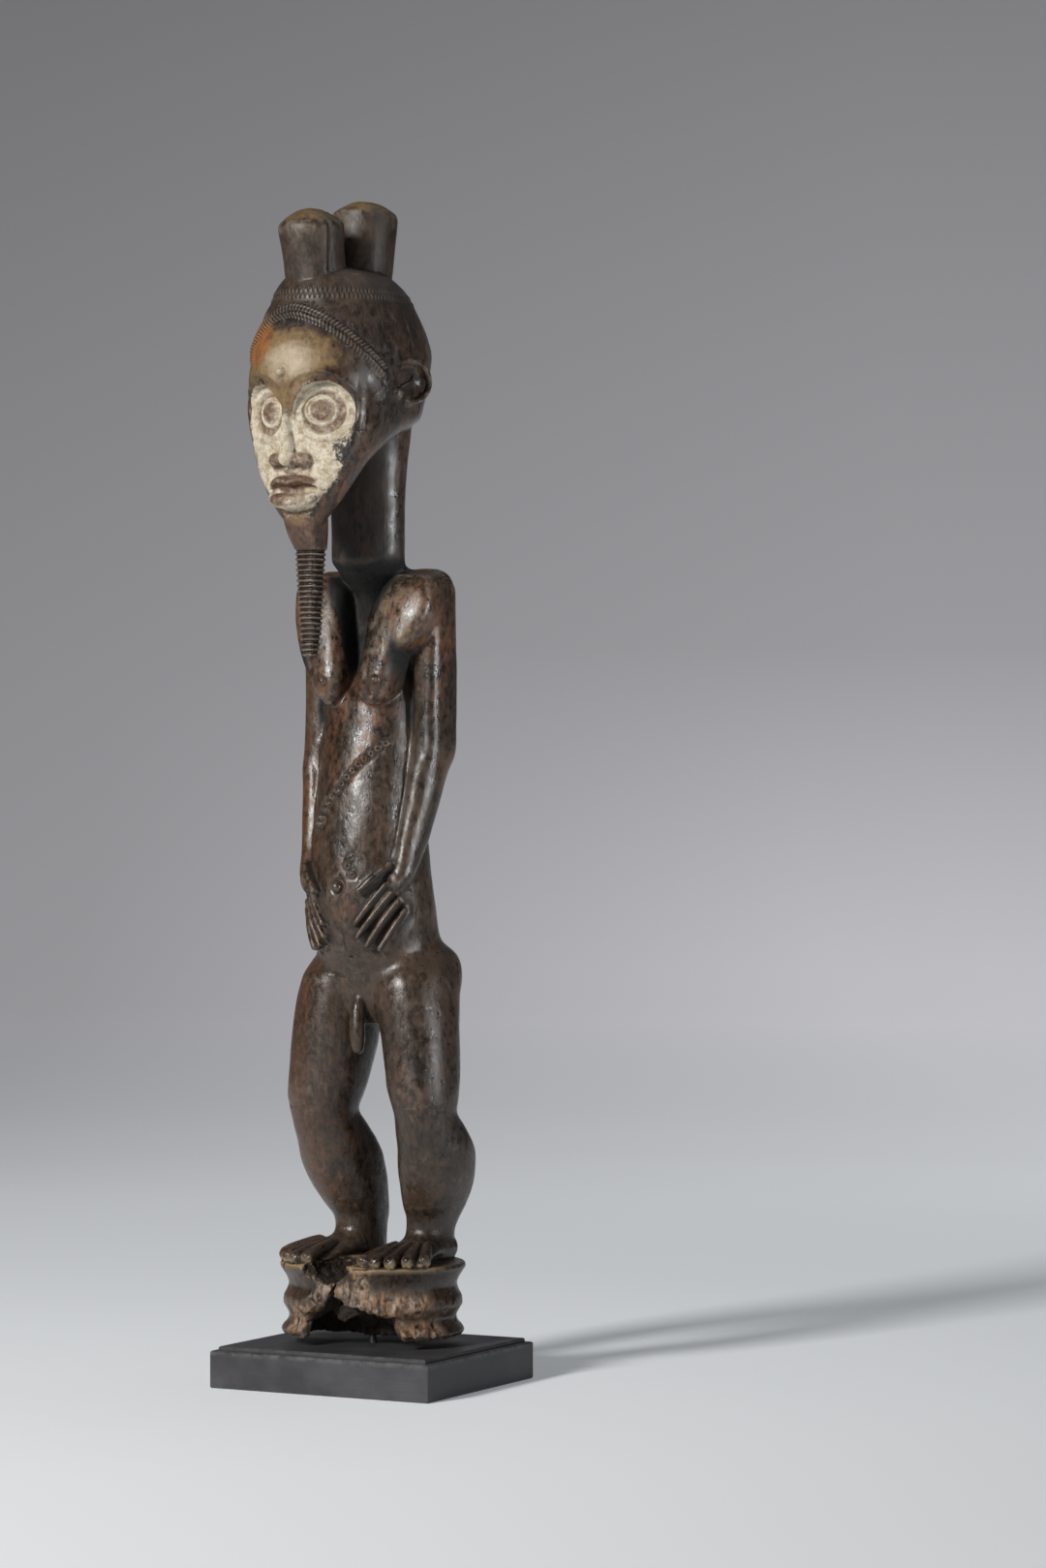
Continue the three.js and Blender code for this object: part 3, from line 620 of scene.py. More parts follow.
def as_object(name, parts):
    """One object of several solids."""
    whole = bmesh.new()
    for part in parts:
        scrap = bpy.data.meshes.new("scrap")
        part.to_mesh(scrap)
        part.free()
        whole.from_mesh(scrap)
        bpy.data.meshes.remove(scrap)
    mesh = bpy.data.meshes.new(name)
    whole.to_mesh(mesh)
    whole.free()
    made = bpy.data.objects.new(name, mesh)
    bpy.context.scene.collection.objects.link(made)
    return made


def settled(piece):
    """Applies a piece's modifiers."""
    graph = bpy.context.evaluated_depsgraph_get()
    mesh = bpy.data.meshes.new_from_object(piece.evaluated_get(graph))
    old = piece.data
    piece.modifiers.clear()
    piece.data = mesh
    bpy.data.meshes.remove(old)
    return piece


def cut(piece, cutter):
    tool = as_object("tool", [cutter])
    change = piece.modifiers.new("cut", "BOOLEAN")
    change.operation = "DIFFERENCE"
    change.solver = "EXACT"
    change.object = tool
    settled(piece)
    bpy.data.objects.remove(tool)


def broken_base():
    """The base with the notch between the feet, the torn front, its crack and the hollow behind."""
    base = as_object("base", [whole_base()])
    cut(base, torn_ball((-2, -49, 68), (13.5, 51, 17), 1.5, 7, (0.4, 0.8)))
    cut(base, breach(TORN_FACE, 0.86, 3, 0.12, 1.3))
    cut(base, breach(CRACK, 0.4, 5, 0.06, 0.5))
    cut(base, breach(HOLLOW, 0.62, 4, 0.02, 1.3))
    cut(base, torn_ball((-12, -18, 18), (20, 15, 25), 1.6, 6, (0.5, 0.7)))
    cut(base, torn_ball((12, -20, 18), (21, 14, 20), 1.6, 6, (0.5, 0.7)))
    return base


# The skin as arrays

class Skin:
    """Vertices, normals and neighbours of a mesh, for sculpting by functions."""

    def __init__(self, mesh):
        self.mesh = mesh
        self.count = len(mesh.vertices)
        self.spots = np.empty(self.count * 3, np.float32)
        mesh.vertices.foreach_get("co", self.spots)
        self.spots = self.spots.reshape(-1, 3).astype(float)
        edges = np.empty(len(mesh.edges) * 2, np.int32)
        mesh.edges.foreach_get("vertices", edges)
        self.edges = edges.reshape(-1, 2)
        self.degree = np.maximum(np.bincount(edges, minlength=self.count), 1)

    def normals(self):
        vectors = np.empty(self.count * 3, np.float32)
        self.mesh.vertex_normals.foreach_get("vector", vectors)
        return vectors.reshape(-1, 3).astype(float)

    def store(self):
        self.mesh.vertices.foreach_set("co", self.spots.astype(np.float32).ravel())
        self.mesh.update()

    def summed(self, edges, values):
        """Sum of the neighbours' values for each vertex, over some of the edges."""
        a, b = edges.T
        return np.stack([np.bincount(a, column[b], self.count) + np.bincount(b, column[a], self.count)
                         for column in values.T], 1)

    def ease(self, weight, times):
        """Moves vertices towards their neighbours' middle, the more the higher their weight."""
        moving = weight > 0.01
        live = np.flatnonzero(moving)
        edges = self.edges[moving[self.edges].any(1)]
        strength = (weight / self.degree)[live, None]
        for _ in range(times):
            shift = self.summed(edges, self.spots)[live] - self.degree[live, None] * self.spots[live]
            self.spots[live] += strength * shift
        self.store()

    def push(self, height):
        self.spots += self.normals() * height[:, None]
        self.store()

    def hollowness(self, times):
        """How far each vertex lies below (over 0) or above the local average of the surface."""
        even = self.spots
        for _ in range(times):
            even = self.summed(self.edges, even) / self.degree[:, None]
        return ((even - self.spots) * self.normals()).sum(1)

    def mark(self, name, values):
        attribute = self.mesh.attributes.new(name, "FLOAT", "POINT")
        attribute.data.foreach_set("value", values.astype(np.float32))


# Places where the carver rounded one form into the next, on both sides: centre, reach, how much
BODY_ROUNDED = [
    ((33, -4, 393), 12, 0.6), ((40, -3, 384), 10, 0.7), ((32, 3, 309), 17, 1),
    ((26, -12, 258), 9, 0.6), ((29, 3, 133), 26, 0.9), ((22, 14, 72), 17, 1),
    ((20, -6, 208), 20, 0.9), ((18, 22, 212), 24, 1), ((0, 20, 200), 20, 1), ((30, 10, 208), 18, 1),
    ((22, 34, 66), 9, 0.8), ((22, -4, 68), 14, 0.6), ((14, 6, 402), 14, 0.5),
]
HEAD_ROUNDED = [
    ((20, -40, 452), 14, 0.5), ((0, 8, 470), 24, 0.9), ((14, 6, 472), 18, 0.9), ((37, -26, 482), 7, 0.6),
    ((0, -60, 424), 10, 0.8), ((8, -70, 456), 5, 0.5), ((0, -14, 193), 7, 0.6), ((25, -16, 251), 6, 0.7),
    ((23, 2, 69), 8, 0.4),
]
BODY_PASSES, HEAD_PASSES = 80, 60


def rounding(spots, places):
    weight = np.zeros(len(spots))
    for (x, y, z), reach, amount in places:
        for side in SIDES:
            weight = np.maximum(weight, amount * fall(away(spots, (side * x, y, z)), 0, reach))
    return weight


def beside(spots, path, reach):
    """Distance to a path, run along it and height over it, for the vertices within reach of it."""
    path = np.array(path, float)
    found = np.zeros((3, len(spots)))
    found[0] = OUT_OF_REACH
    near = np.all((spots >= path.min(0) - reach) & (spots <= path.max(0) + reach), axis=1)
    places, best = spots[near], found[:, near]
    start = 0
    for a, b in zip(path, path[1:]):
        length = np.linalg.norm(b - a)
        share = np.clip((places - a) @ (b - a) / length**2, 0, 1)
        gap = np.linalg.norm(places - a - share[:, None] * (b - a), axis=1)
        here = [gap, start + share * length, places[:, 2] - a[2] - share * (b - a)[2]]
        best = np.where(gap < best[0], here, best)
        start += length
    found[:, near] = best
    return found


def points_along(path, pitch):
    path = np.array(path, float)
    run = run_along(path)
    stops = np.linspace(0, run[-1], round(run[-1] / pitch) + 1)
    return np.stack([np.interp(stops, run, column) for column in path.T], 1)


# Carving in relief

# Cut edge of the brow: angle round the goggle, reach in goggle radii, depth
BROW_ANGLES = (-180, -120, -60, -20, 17, 35, 64, 97, 133, 150, 180)
BROW_REACH = (1.22, 1.08, 1.05, 1.08, 1.2, 1.19, 1.25, 1.34, 1.42, 1.34, 1.22)
BROW_DEPTH = (0.3, 0.3, 0.3, 0.4, 0.9, 1.1, 1.3, 1.3, 0.9, 0.5, 0.3)


def eye_frame(spots, side):
    """Outward, upward and forward distance from the middle of an eye."""
    turn = math.radians(EYES[side][3])
    offset = spots - EYES[side][:3]
    out = offset[:, 0] * side * math.cos(turn) + offset[:, 1] * math.sin(turn)
    forward = offset[:, 0] * side * math.sin(turn) - offset[:, 1] * math.cos(turn)
    return out, offset[:, 2], forward


def goggle_radius(out, up, forward):
    radius = np.hypot(out / GOGGLE_HALF[0], up / GOGGLE_HALF[1])
    return np.where((forward > -14) & (np.abs(out) < 30), radius, 9)


def lid_radius(out, up):
    return np.hypot((out - LID_SHIFT[0]) / LID_HALF[0], (up - LID_SHIFT[1]) / LID_HALF[1])


def carve_eyes(skin):
    """Flat goggle, recess, thin lid and domed eyeball, under the cut edge of the brow."""
    for side in SIDES:
        out, up, forward = eye_frame(skin.spots, side)
        ring, lid = goggle_radius(out, up, forward), lid_radius(out, up)
        shape = -0.3 - 0.7 * ring**2 - 0.006 * np.maximum(out, 0) ** 2 - 2.3 * fall(ring, 0.68, 0.78)
        shape += 1.7 * bell(lid - 1.02, 0.13)
        shape += 3.6 * np.sqrt(np.clip(1 - (lid / 0.88) ** 2, 0, 1)) * (lid < 0.88)
        inside = fall(ring, 0.985, 1.03)
        sunk = np.maximum(-1.6 - forward, 0) * fall(ring, 1, 1.75)
        angle = np.degrees(np.arctan2(up, out))
        reach = np.interp(angle, BROW_ANGLES, BROW_REACH)
        depth = np.interp(angle, BROW_ANGLES, BROW_DEPTH)
        recess = window(ring, 0.99, 1.06, reach - 0.08, reach + 0.02)
        lip = bell(ring - reach - 0.05, 0.07) * rise(angle, -10, 30)
        change = inside * (shape - forward) + (1 - inside) * (sunk + 0.5 * lip - depth * recess)
        change[ring > 3] = 0
        change *= rise(side * skin.spots[:, 0], -1, 4.5)
        turn = math.radians(EYES[side][3])
        skin.spots += change[:, None] * (side * math.sin(turn), -math.cos(turn), 0)
    skin.store()


SCAR_CHAIN = [(18.1, -15.5, 315.3), (7.5, -22.1, 306.1), (-5.8, -25.3, 290.1), (-16.4, -22.4, 276.2)]
SCAR_PITCH = 4.1
SMALL_SCARS = [(6.8, -28.7, 259.4), (8.2, -29, 251.4), (5.6, -29, 255.6)]
SMALL_SCAR_DEPTH = 0.7
KNEE_LINE = [(22, -17, 136.4), (31, -17, 135.4), (39.6, -13.2, 136.6), (44, -6, 138)]
FINGER_GAPS = [(np.array(one) + other) / 2 for one, other in zip(FINGERS, FINGERS[1:])]

# Grooves of mouth, lower lip, belly, groin, thigh, knees and hands: path, width, depth
GROOVES = [
    (there_and_back([(-13, -67.6, 437), (-6, -73, 437.8), (0, -74.5, 437)]), 1.2, 2.8),
    (there_and_back([(-13, -65.4, 432), (-8.8, -65.6, 427.4), (0, -67.6, 425.8)]), 1, 1),
    ([(2.6, -31, 239), (1.6, -29, 227), (0.7, -24, 214)], 0.6, 0.5),
    ([(-20.1, -13.8, 206), (-13, -16, 202.6), (-6.4, -16.9, 201.6), (5, -16.9, 201.8),
      (16.3, -14.9, 204.9)], 0.9, 0.8),
    ([(39.6, -12, 164), (39.9, -11.9, 157)], 0.7, 0.7),
    (KNEE_LINE, 1.4, 0.5), (mirrored(KNEE_LINE), 1.4, 0.5),
    *((gap * (side, 1, 1), 0.7, 1.6) for gap in FINGER_GAPS for side in SIDES),
]

# Pits, and rings cut round a place, in belly, forehead, nose and toes: middle, radius, width, depth
PITS = [
    (NAVEL, 3.8, 0.8, 0.7), ((0, -79.6, 492.8), 3.4, 0.8, 0.8), ((2.1, -21.7, 210.5), 0, 0.9, 1.6),
    *(((side * 6.2, -72.4, 447), 0, 1.5, 1.2) for side in SIDES),
    *(((side * x * 0.985, y * 0.96 - 0.4, 65), 1.6, 0.4, 0.35) for side in SIDES for x, y in TOE_TIPS),
]


def groove(spots, path, width, depth):
    return -depth * bell(beside(spots, path, 4 * width)[0], width)


def pit(spots, middle, radius, width, depth):
    return -depth * bell(away(spots, middle) - radius, width)


def ring_scar(spots, centre):
    x, y, z = spots.T
    distance = np.hypot(x - centre[0], z - centre[2]) + 9 * (y > -5)
    ring = 0.9 * bell(distance - 1.25, 0.55)
    return ring - 0.7 * bell(distance, 0.6) - 0.6 * bell(distance - 2.3, 0.6)


def hatch_marks(spots):
    """Run of the fine cuts on cords, circlet and beard, in cuts, and where they are."""
    x, y, z = spots.T
    layers = []
    for shift, slant in ((0, 0.5), (CORD_PITCH, -0.5)):
        distance, along, above = beside(spots, cord_line(shift), 3)
        layers.append(((along + slant * above) / HATCH_PITCH, fall(distance, 1.6, 2.6)))
    around = np.arctan2(x, -(y + 25)) * 32 / TICK_PITCH
    for index, centre in enumerate(CIRCLET_HEIGHTS):
        layers.append((around + index / 2, bell(z - centre, 1.1, 4) * fall(y, -20, 0)))
    bearded = (np.abs(x) < 10) & (np.abs(y - BEARD_Y) < 10)
    layers.append(((BEARD_RING_START - z) / BEARD_RING_PITCH - 0.25, bearded * fall(z, 407, 409)))
    run, share = np.zeros((2, len(spots)))
    for cuts, there in layers:
        run = np.where(there > share, cuts, run)
        share = np.maximum(there, share)
    return run, share


def bun_cuts(spots):
    """A slanting groove on each side of the front bun."""
    x, y, z = spots.T
    low, high = BUN_GROOVE_SPAN
    turn = math.radians(BUN_GROOVE_ANGLE)
    behind = y - BUN_GROOVE_Y + 2.5 * (z - low) / (high - low)
    band = window(z, low, low + 3, high - 1, high + 1)
    return sum(-bell(x * math.cos(turn) + side * behind * math.sin(turn), 0.8) * band * (side * x > 6)
               for side in SIDES)


def ear_hollow(spots):
    x, y, z = spots.T
    half_length, half_height = EAR_HALF_LENGTH - 3, EAR_HALF_HEIGHT - 2.6
    return oval(y, z, EAR_Y - 1, EAR_HEIGHT, half_length, half_height, 0.6, 1, -2.8) * (np.abs(x) > 34)


def loss_depth(spots):
    """How deep a spot of the base lies under the whole rings' surface, in mm."""
    x, y, z = spots.T
    reach = np.hypot(x / BASE_HALF_WIDTH, y / BASE_HALF_DEPTH)
    depth = (follow(BASE_RINGS, z) - reach) * (BASE_HALF_WIDTH + BASE_HALF_DEPTH) / 2
    return np.where(z < BASE_TOP, depth, 0)


def base_angle(spots):
    return np.degrees(np.arctan2(spots[:, 1] / BASE_HALF_DEPTH, spots[:, 0] / BASE_HALF_WIDTH))


def flaked(spots):
    """Share of the rings' skin that has flaked off to raw wood, at the front."""
    angle, z = base_angle(spots), spots[:, 2]
    share = np.maximum.reduce([
        1.25 * window(angle, -72, -66, -24, -12) * bell(z - 42, 5.2),
        window(angle, -44, -40, -14, -2) * fall(z, 31, 38),
        window(angle, -134, -126, -104, -98) * fall(z, 37, 45),
        window(angle, -73, -69, -66, -58) * rise(z, 40, 44),
    ])
    patch = 0.5 + 0.5 * noise(spots, 6, 5.2)
    return np.clip(share * (0.6 + 0.9 * patch), 0, 1)


def base_relief(spots):
    """Fibres and chips where the base is broken."""
    below = (spots[:, 2] < BASE_TOP).astype(float)
    inside = rise(loss_depth(spots), 0.7, 2.5) * below
    flake = flaked(spots) * below * (1 - inside)
    fibres = noise(spots, (2.4, 2.4, 3.4), 1.7) + 0.6 * noise(spots, 1.3, 9.4)
    chips = rise(noise(spots, 7, 12.5), 0.55, 0.8) * below
    return inside * 0.8 * fibres + flake * (-1 + 0.7 * fibres) - 0.8 * chips * (1 - inside)


def tool_marks(spots):
    """Slight facets left by the blade, softened by handling."""
    broad = 0.34 * noise(spots, (10, 10, 16), 2.2) + 0.16 * noise(spots, (4.5, 4.5, 8), 6.6)
    return broad * rise(spots[:, 2], 62, 70)


def carve(skin):
    carve_eyes(skin)
    spots = skin.spots
    height = bun_cuts(spots) + ear_hollow(spots) + tool_marks(spots) + base_relief(spots)
    height += sum(groove(spots, *cut) for cut in GROOVES) + sum(pit(spots, *cut) for cut in PITS)
    height += sum(ring_scar(spots, centre) for centre in points_along(SCAR_CHAIN, SCAR_PITCH))
    height += SMALL_SCAR_DEPTH * sum(ring_scar(spots, centre) for centre in SMALL_SCARS)
    skin.push(height)


# Colour marks on the skin

# Height, and how far out from the middle the clay of the cheeks reaches there
CLAY_LIMIT = [
    (418, 3), (426, 9), (434, 16.3), (440.6, 21.7), (446.6, 24.9), (462.2, 29.3), (475, 31.5),
    (490, 31),
]
# Ochre on forehead, temple, chin and brow: middle, half width and height, where it fades, strength
OCHRE_PATCHES = [
    (3, 500, 26, 16, 0.5, 1.15, 1), (-22, 505, 22, 22, 0.5, 1.1, 0.85), (0, 424, 12, 7, 0.4, 1, 0.6),
    (0, 484, 13, 14, 0.6, 1.1, 0.85),
]


def clay_mark(spots):
    """White clay on goggles, cheeks and round the mouth, thin on nose and lips."""
    x, y, z = spots.T
    cheeks = fall(np.abs(x) - follow(CLAY_LIMIT, z), -3, 1.5)
    cheeks *= window(z, 420, 428, 468, 478) * fall(y, -58, -50)
    goggles = [fall(goggle_radius(*eye_frame(spots, side)), 1, 1.05) for side in SIDES]
    return np.maximum.reduce([cheeks * 0.85, *goggles])


def stain_mark(spots):
    """Brown wood and old dirt showing through the clay: lips, chin, eyeballs, lids, nose."""
    x, y, z = spots.T
    front = fall(y, -62, -56)
    layers = [
        oval(x, z, 0, 440.4, 14, 4, 0.85, 1.05, 0.9) * front,
        oval(x, z, 0, 432.6, 13, 4.4, 0.8, 1.05) * (0.7 - 0.025 * x) * front,
        0.9 * bell(np.hypot(x / 15, (z - 434) / 8.4) - 1, 0.14) * fall(z, 432, 436) * front,
        0.62 * fall(z, 424, 431) * front,
        0.5 * fall(x, -30, -20) * fall(z, 452, 460),
    ]
    for side in SIDES:
        out, up, forward = eye_frame(spots, side)
        ring, lid = goggle_radius(out, up, forward), lid_radius(out, up)
        eye = np.maximum(0.78 * fall(lid, 0.6, 0.98), 0.72 * fall(ring, 0.66, 0.76) * rise(lid, 1.06, 1.18))
        wing = away(spots, (side * 7.4, -72, 450), (6.6, 7, 5))
        layers += [np.where(ring < 0.8, eye, 0), 0.8 * fall(wing, 0.8, 1.05)]
    return np.maximum.reduce(layers)


def soot_mark(spots):
    x, y, z = spots.T
    left = away(spots, (25, -62, 455), (7.5, 9, 9))
    right = away(spots, (-25.5, -62, 452), (5, 9, 6))
    fringe = 0.5 * bell(follow(CLAY_LIMIT, z) - x, 4) * (z < 466) * (y < -50)
    return np.maximum.reduce([0.78 * fall(left, 0.3, 1.2), 0.5 * fall(right, 0.3, 1.1), fringe])


def ochre_mark(spots):
    """Rubbed ochre on the face, dull chest slabs, and the worn tops of the buns."""
    x, y, z = spots.T
    face = np.maximum.reduce([oval(x, z, *patch) for patch in OCHRE_PATCHES]) * fall(y, -52, -38)
    slab = oval(np.abs(x), z, 25, 376, 13, 24, 0.5, 1.1, 0.4) * fall(y, -10, -4)
    tops = 0.62 * np.maximum(rise(z, 564, 569) * (y < -35), rise(z, 573, 578))
    return np.maximum.reduce([face, slab, tops])


def orange_mark(spots):
    x, _, z = spots.T
    return np.maximum(oval(x, z, -20, 508, 16, 14, 0.4, 1.1), 0.5 * bell(z - 516, 4))


def painted_shade_mark(spots):
    """Painted shade: between the chest slabs, behind the chin, under the arms."""
    x, y, z = spots.T
    chest = fall(np.abs(x - 1) - (z - 340) * 0.24, 3, 9) * window(z, 346, 356, 402, 412)
    chest *= window(y, -19.5, -13, 6, 10)
    neck = 0.5 * window(z, 398, 404, 462, 470) * window(y, -26, -20, -16, -8)
    slots = 0.9 * bell(np.abs(x) - 26, 3) * window(z, 318, 330, 362, 372)
    return np.maximum.reduce([chest, neck, slots])


def finger_mark(spots):
    """Ridges of the fingers, over 0, and the gaps between them, under 0; used for painted highlight on the
    ridges and painted shade in the gaps.
    """
    ridges, near = np.zeros((2, len(spots)))
    for side in SIDES:
        for points in (*FINGERS, THUMB):
            distance = beside(spots * (1, 0, 1), np.array(points) * (side, 0, 1), 5)[0]
            distance += 9 * (spots[:, 1] > -8)
            ridges = np.maximum(ridges, bell(distance, 1.1))
            near = np.maximum(near, fall(distance, 2.2, 3.2))
    return np.where(ridges > 0.25, ridges, -near)


def mark_skin(skin):
    spots = skin.spots
    x, y, z = spots.T
    cuts, cut_share = hatch_marks(spots)
    depth, below = loss_depth(spots), fall(z, BASE_TOP - 0.6, BASE_TOP + 0.6)
    fine, broad = skin.hollowness(3), skin.hollowness(14)
    fingers, painted_shade = finger_mark(spots), painted_shade_mark(spots)
    # Lighter on convex places, as wear and as painted highlight on crests
    wear_and_highlight = rise(-fine, 0.06, 0.3) * 0.6 + rise(-broad, 0.5, 2) * 0.35
    wear_and_highlight *= rise(away(spots, LOINS), 14, 22)
    # Painted highlight along the lit rims of the bun caps, the ear rims and the inner edges of the chest
    # slabs
    caps = bell(z - 566, 0.9) * (y < -50) + bell(z - 575, 0.9) * (y < 0)
    ears = rise(np.abs(x), 39.4, 40.6) * bell(z - EAR_HEIGHT, 12, 4)
    slabs = bell(z - 372, 26, 4) * rise(-fine, 0.02, 0.1) * (y < -15) * 0.6
    face = fall(y, -62, -56) * rise(z, 424, 430)
    # Darker in hollows, less on the face: dirt together with painted shade
    grime_and_shade = rise(fine, 0.05, 0.35) * (0.6 - 0.35 * face) + rise(broad, 0.3, 1.5) * (0.45 - 0.42 * face)
    front = fall(base_angle(spots), -20, 0) * (y < 0)
    marks = {
        "clay": clay_mark(spots),
        "stain": stain_mark(spots),
        "soot": soot_mark(spots),
        "ochre": ochre_mark(spots),
        "orange": orange_mark(spots),
        "cuts": cuts,
        "cut_share": cut_share,
        "pale": oval(x, z, 3, 498, 19, 13, 0.2, 1.2) * (y < -55),
        "raw": np.maximum(rise(depth, 0.9, 2.2), flaked(spots)) * below,
        "depth": np.clip(depth / 12, 0, 1) * below,
        # wear together with painted highlight on crests, rims and finger ridges
        "wear_and_highlight": np.maximum.reduce([wear_and_highlight, 0.8 * caps, 0.8 * ears, slabs, 0.75 * fingers]),
        # painted shade between the chest slabs, on the neck and under the arms
        "shade": painted_shade,
        # dirt in hollows together with painted shade there, between the chest slabs and in the finger gaps
        "dirt_and_shade": np.maximum.reduce([grime_and_shade, painted_shade, -0.8 * fingers]),
        "rim": bell(z - BASE_TOP, 1.6) * rise(-broad, 0.15, 0.5) * front,
    }
    for name, values in marks.items():
        skin.mark(name, values)


# Finishes

class Finish:
    """A material under construction, with one short call for each kind of node."""

    def __init__(self, name):
        self.material = bpy.data.materials.new(name)
        self.material.use_nodes = True
        self.tree = self.material.node_tree
        self.shader = self.tree.nodes["Principled BSDF"]
        self.place = self.tree.nodes.new("ShaderNodeTexCoord").outputs["Object"]
        self.colour = None
        self.bumps = None

    def node(self, kind, **settings):
        made = self.tree.nodes.new("ShaderNode" + kind)
        for name, value in settings.items():
            setattr(made, name, value)
        return made

    def put(self, socket, value):
        if isinstance(value, bpy.types.NodeSocket):
            self.tree.links.new(value, socket)
        elif hasattr(value, "__len__") and len(value) == 3 and socket.type == "RGBA":
            socket.default_value = (*value, 1)
        else:
            socket.default_value = value

    def give(self, name, value):
        """Puts a value on a socket of the shader."""
        self.put(self.shader.inputs[name], value)

    def done(self):
        """The material, with the colour and bumps so far."""
        self.give("Base Color", self.colour)
        if self.bumps is not None:
            self.give("Normal", self.bumps)
        return self.material

    def axes(self):
        split = self.node("SeparateXYZ")
        self.put(split.inputs[0], self.place)
        return split.outputs

    def cloud(self, size, detail=3, grain=1, twist=0, roughness=0.55, axis=2):
        """Noise with lumps about one size across, in millimetres, and drawn out where grain is low."""
        mapping = self.node("Mapping")
        self.put(mapping.inputs["Vector"], self.place)
        mapping.inputs["Scale"].default_value[axis] = grain
        made = self.node("TexNoise")
        self.put(made.inputs["Vector"], mapping.outputs["Vector"])
        made.inputs["Scale"].default_value = 1 / (size * MILLIMETRE)
        made.inputs["Detail"].default_value = detail
        made.inputs["Roughness"].default_value = roughness
        made.inputs["Distortion"].default_value = twist
        return made.outputs["Fac"]

    def mark(self, name):
        return self.node("Attribute", attribute_name=name).outputs["Fac"]

    def sum(self, operation, a, b=0.0, clamp=False):
        made = self.node("Math", operation=operation, use_clamp=clamp)
        self.put(made.inputs[0], a)
        self.put(made.inputs[1], b)
        return made.outputs[0]

    def plus(self, a, b, clamp=False):
        return self.sum("ADD", a, b, clamp)

    def less(self, a, b):
        return self.sum("SUBTRACT", a, b)

    def times(self, a, b):
        return self.sum("MULTIPLY", a, b)

    def most(self, a, b):
        return self.sum("MAXIMUM", a, b)

    def slope(self, value, low, high, start=0.0, end=1.0):
        made = self.node("MapRange")
        for socket, given in zip(made.inputs, (value, low, high, start, end)):
            self.put(socket, given)
        return made.outputs[0]

    def blend(self, share, a, b):
        made = self.node("Mix", data_type="RGBA")
        self.put(made.inputs[0], share)
        self.put(made.inputs[6], a)
        self.put(made.inputs[7], b)
        return made.outputs[2]

    def over(self, share, tint):
        """Lays a tint over the colour so far."""
        self.colour = self.blend(share, self.colour, tint)

    def relief(self, height, depth):
        """Adds a bump, its depth in millimetres, to those so far."""
        made = self.node("Bump")
        made.inputs["Strength"].default_value = 1
        made.inputs["Distance"].default_value = depth * MILLIMETRE
        self.put(made.inputs["Height"], height)
        if self.bumps is not None:
            self.put(made.inputs["Normal"], self.bumps)
        self.bumps = made.outputs["Normal"]

    def ragged(self, name, size, roughness, low, high, shift):
        """A mark of the skin with a ragged edge."""
        mark = self.mark(name)
        uneven = self.times(self.less(self.cloud(size, 7, roughness=roughness), 0.5), shift)
        return self.times(self.slope(self.plus(mark, uneven), low, high), self.slope(mark, 0.02, 0.12))


DARK_WOOD = (0.014, 0.0095, 0.007)
BROWN_WOOD = (0.068, 0.043, 0.027)
RED_WOOD = (0.19, 0.066, 0.024)
# A light tone for wear, also used as painted highlight
WORN_AND_LIT_WOOD = (0.16, 0.125, 0.095)
RAW_WOOD = (0.42, 0.32, 0.25)
RAW_ORANGE = (0.3, 0.155, 0.075)
RIM_WOOD = (0.46, 0.33, 0.17)
# Dark rotten wood, also used as painted shade deep in the breaks
ROTTEN_AND_SHADED_WOOD = (0.02, 0.011, 0.006)
CLAY = (0.64, 0.57, 0.46)
CLAY_WARM = (0.34, 0.27, 0.16)
CLAY_STAIN = (0.13, 0.06, 0.032)
OCHRE = (0.2, 0.125, 0.05)
ORANGE = (0.3, 0.11, 0.025)
PALE_OCHRE = (0.4, 0.32, 0.22)
SOOT = (0.012, 0.011, 0.01)
# Nearly black, used as painted shade
PAINTED_SHADE_BLACK = (0.003, 0.0025, 0.002)
PAINT_BLACK, PAINT_GREY = (0.034, 0.034, 0.037), (0.058, 0.058, 0.064)
PAINT_RUBBED, PAINT_DUST = (0.16, 0.155, 0.15), (0.08, 0.08, 0.08)
STEEL_DARK, STEEL_LIGHT, RUST = (0.1, 0.095, 0.09), (0.2, 0.19, 0.18), (0.1, 0.04, 0.02)
# Paper colours, darker farther out as painted shade
PAPER_NEAR, PAPER_MIDDLE, PAPER_FAR = (0.84, 0.865, 0.885), (0.59, 0.61, 0.63), (0.2, 0.2, 0.21)
GLOW_NEAR, GLOW_FAR = (0.925, 0.97, 1), (0.955, 0.955, 1)


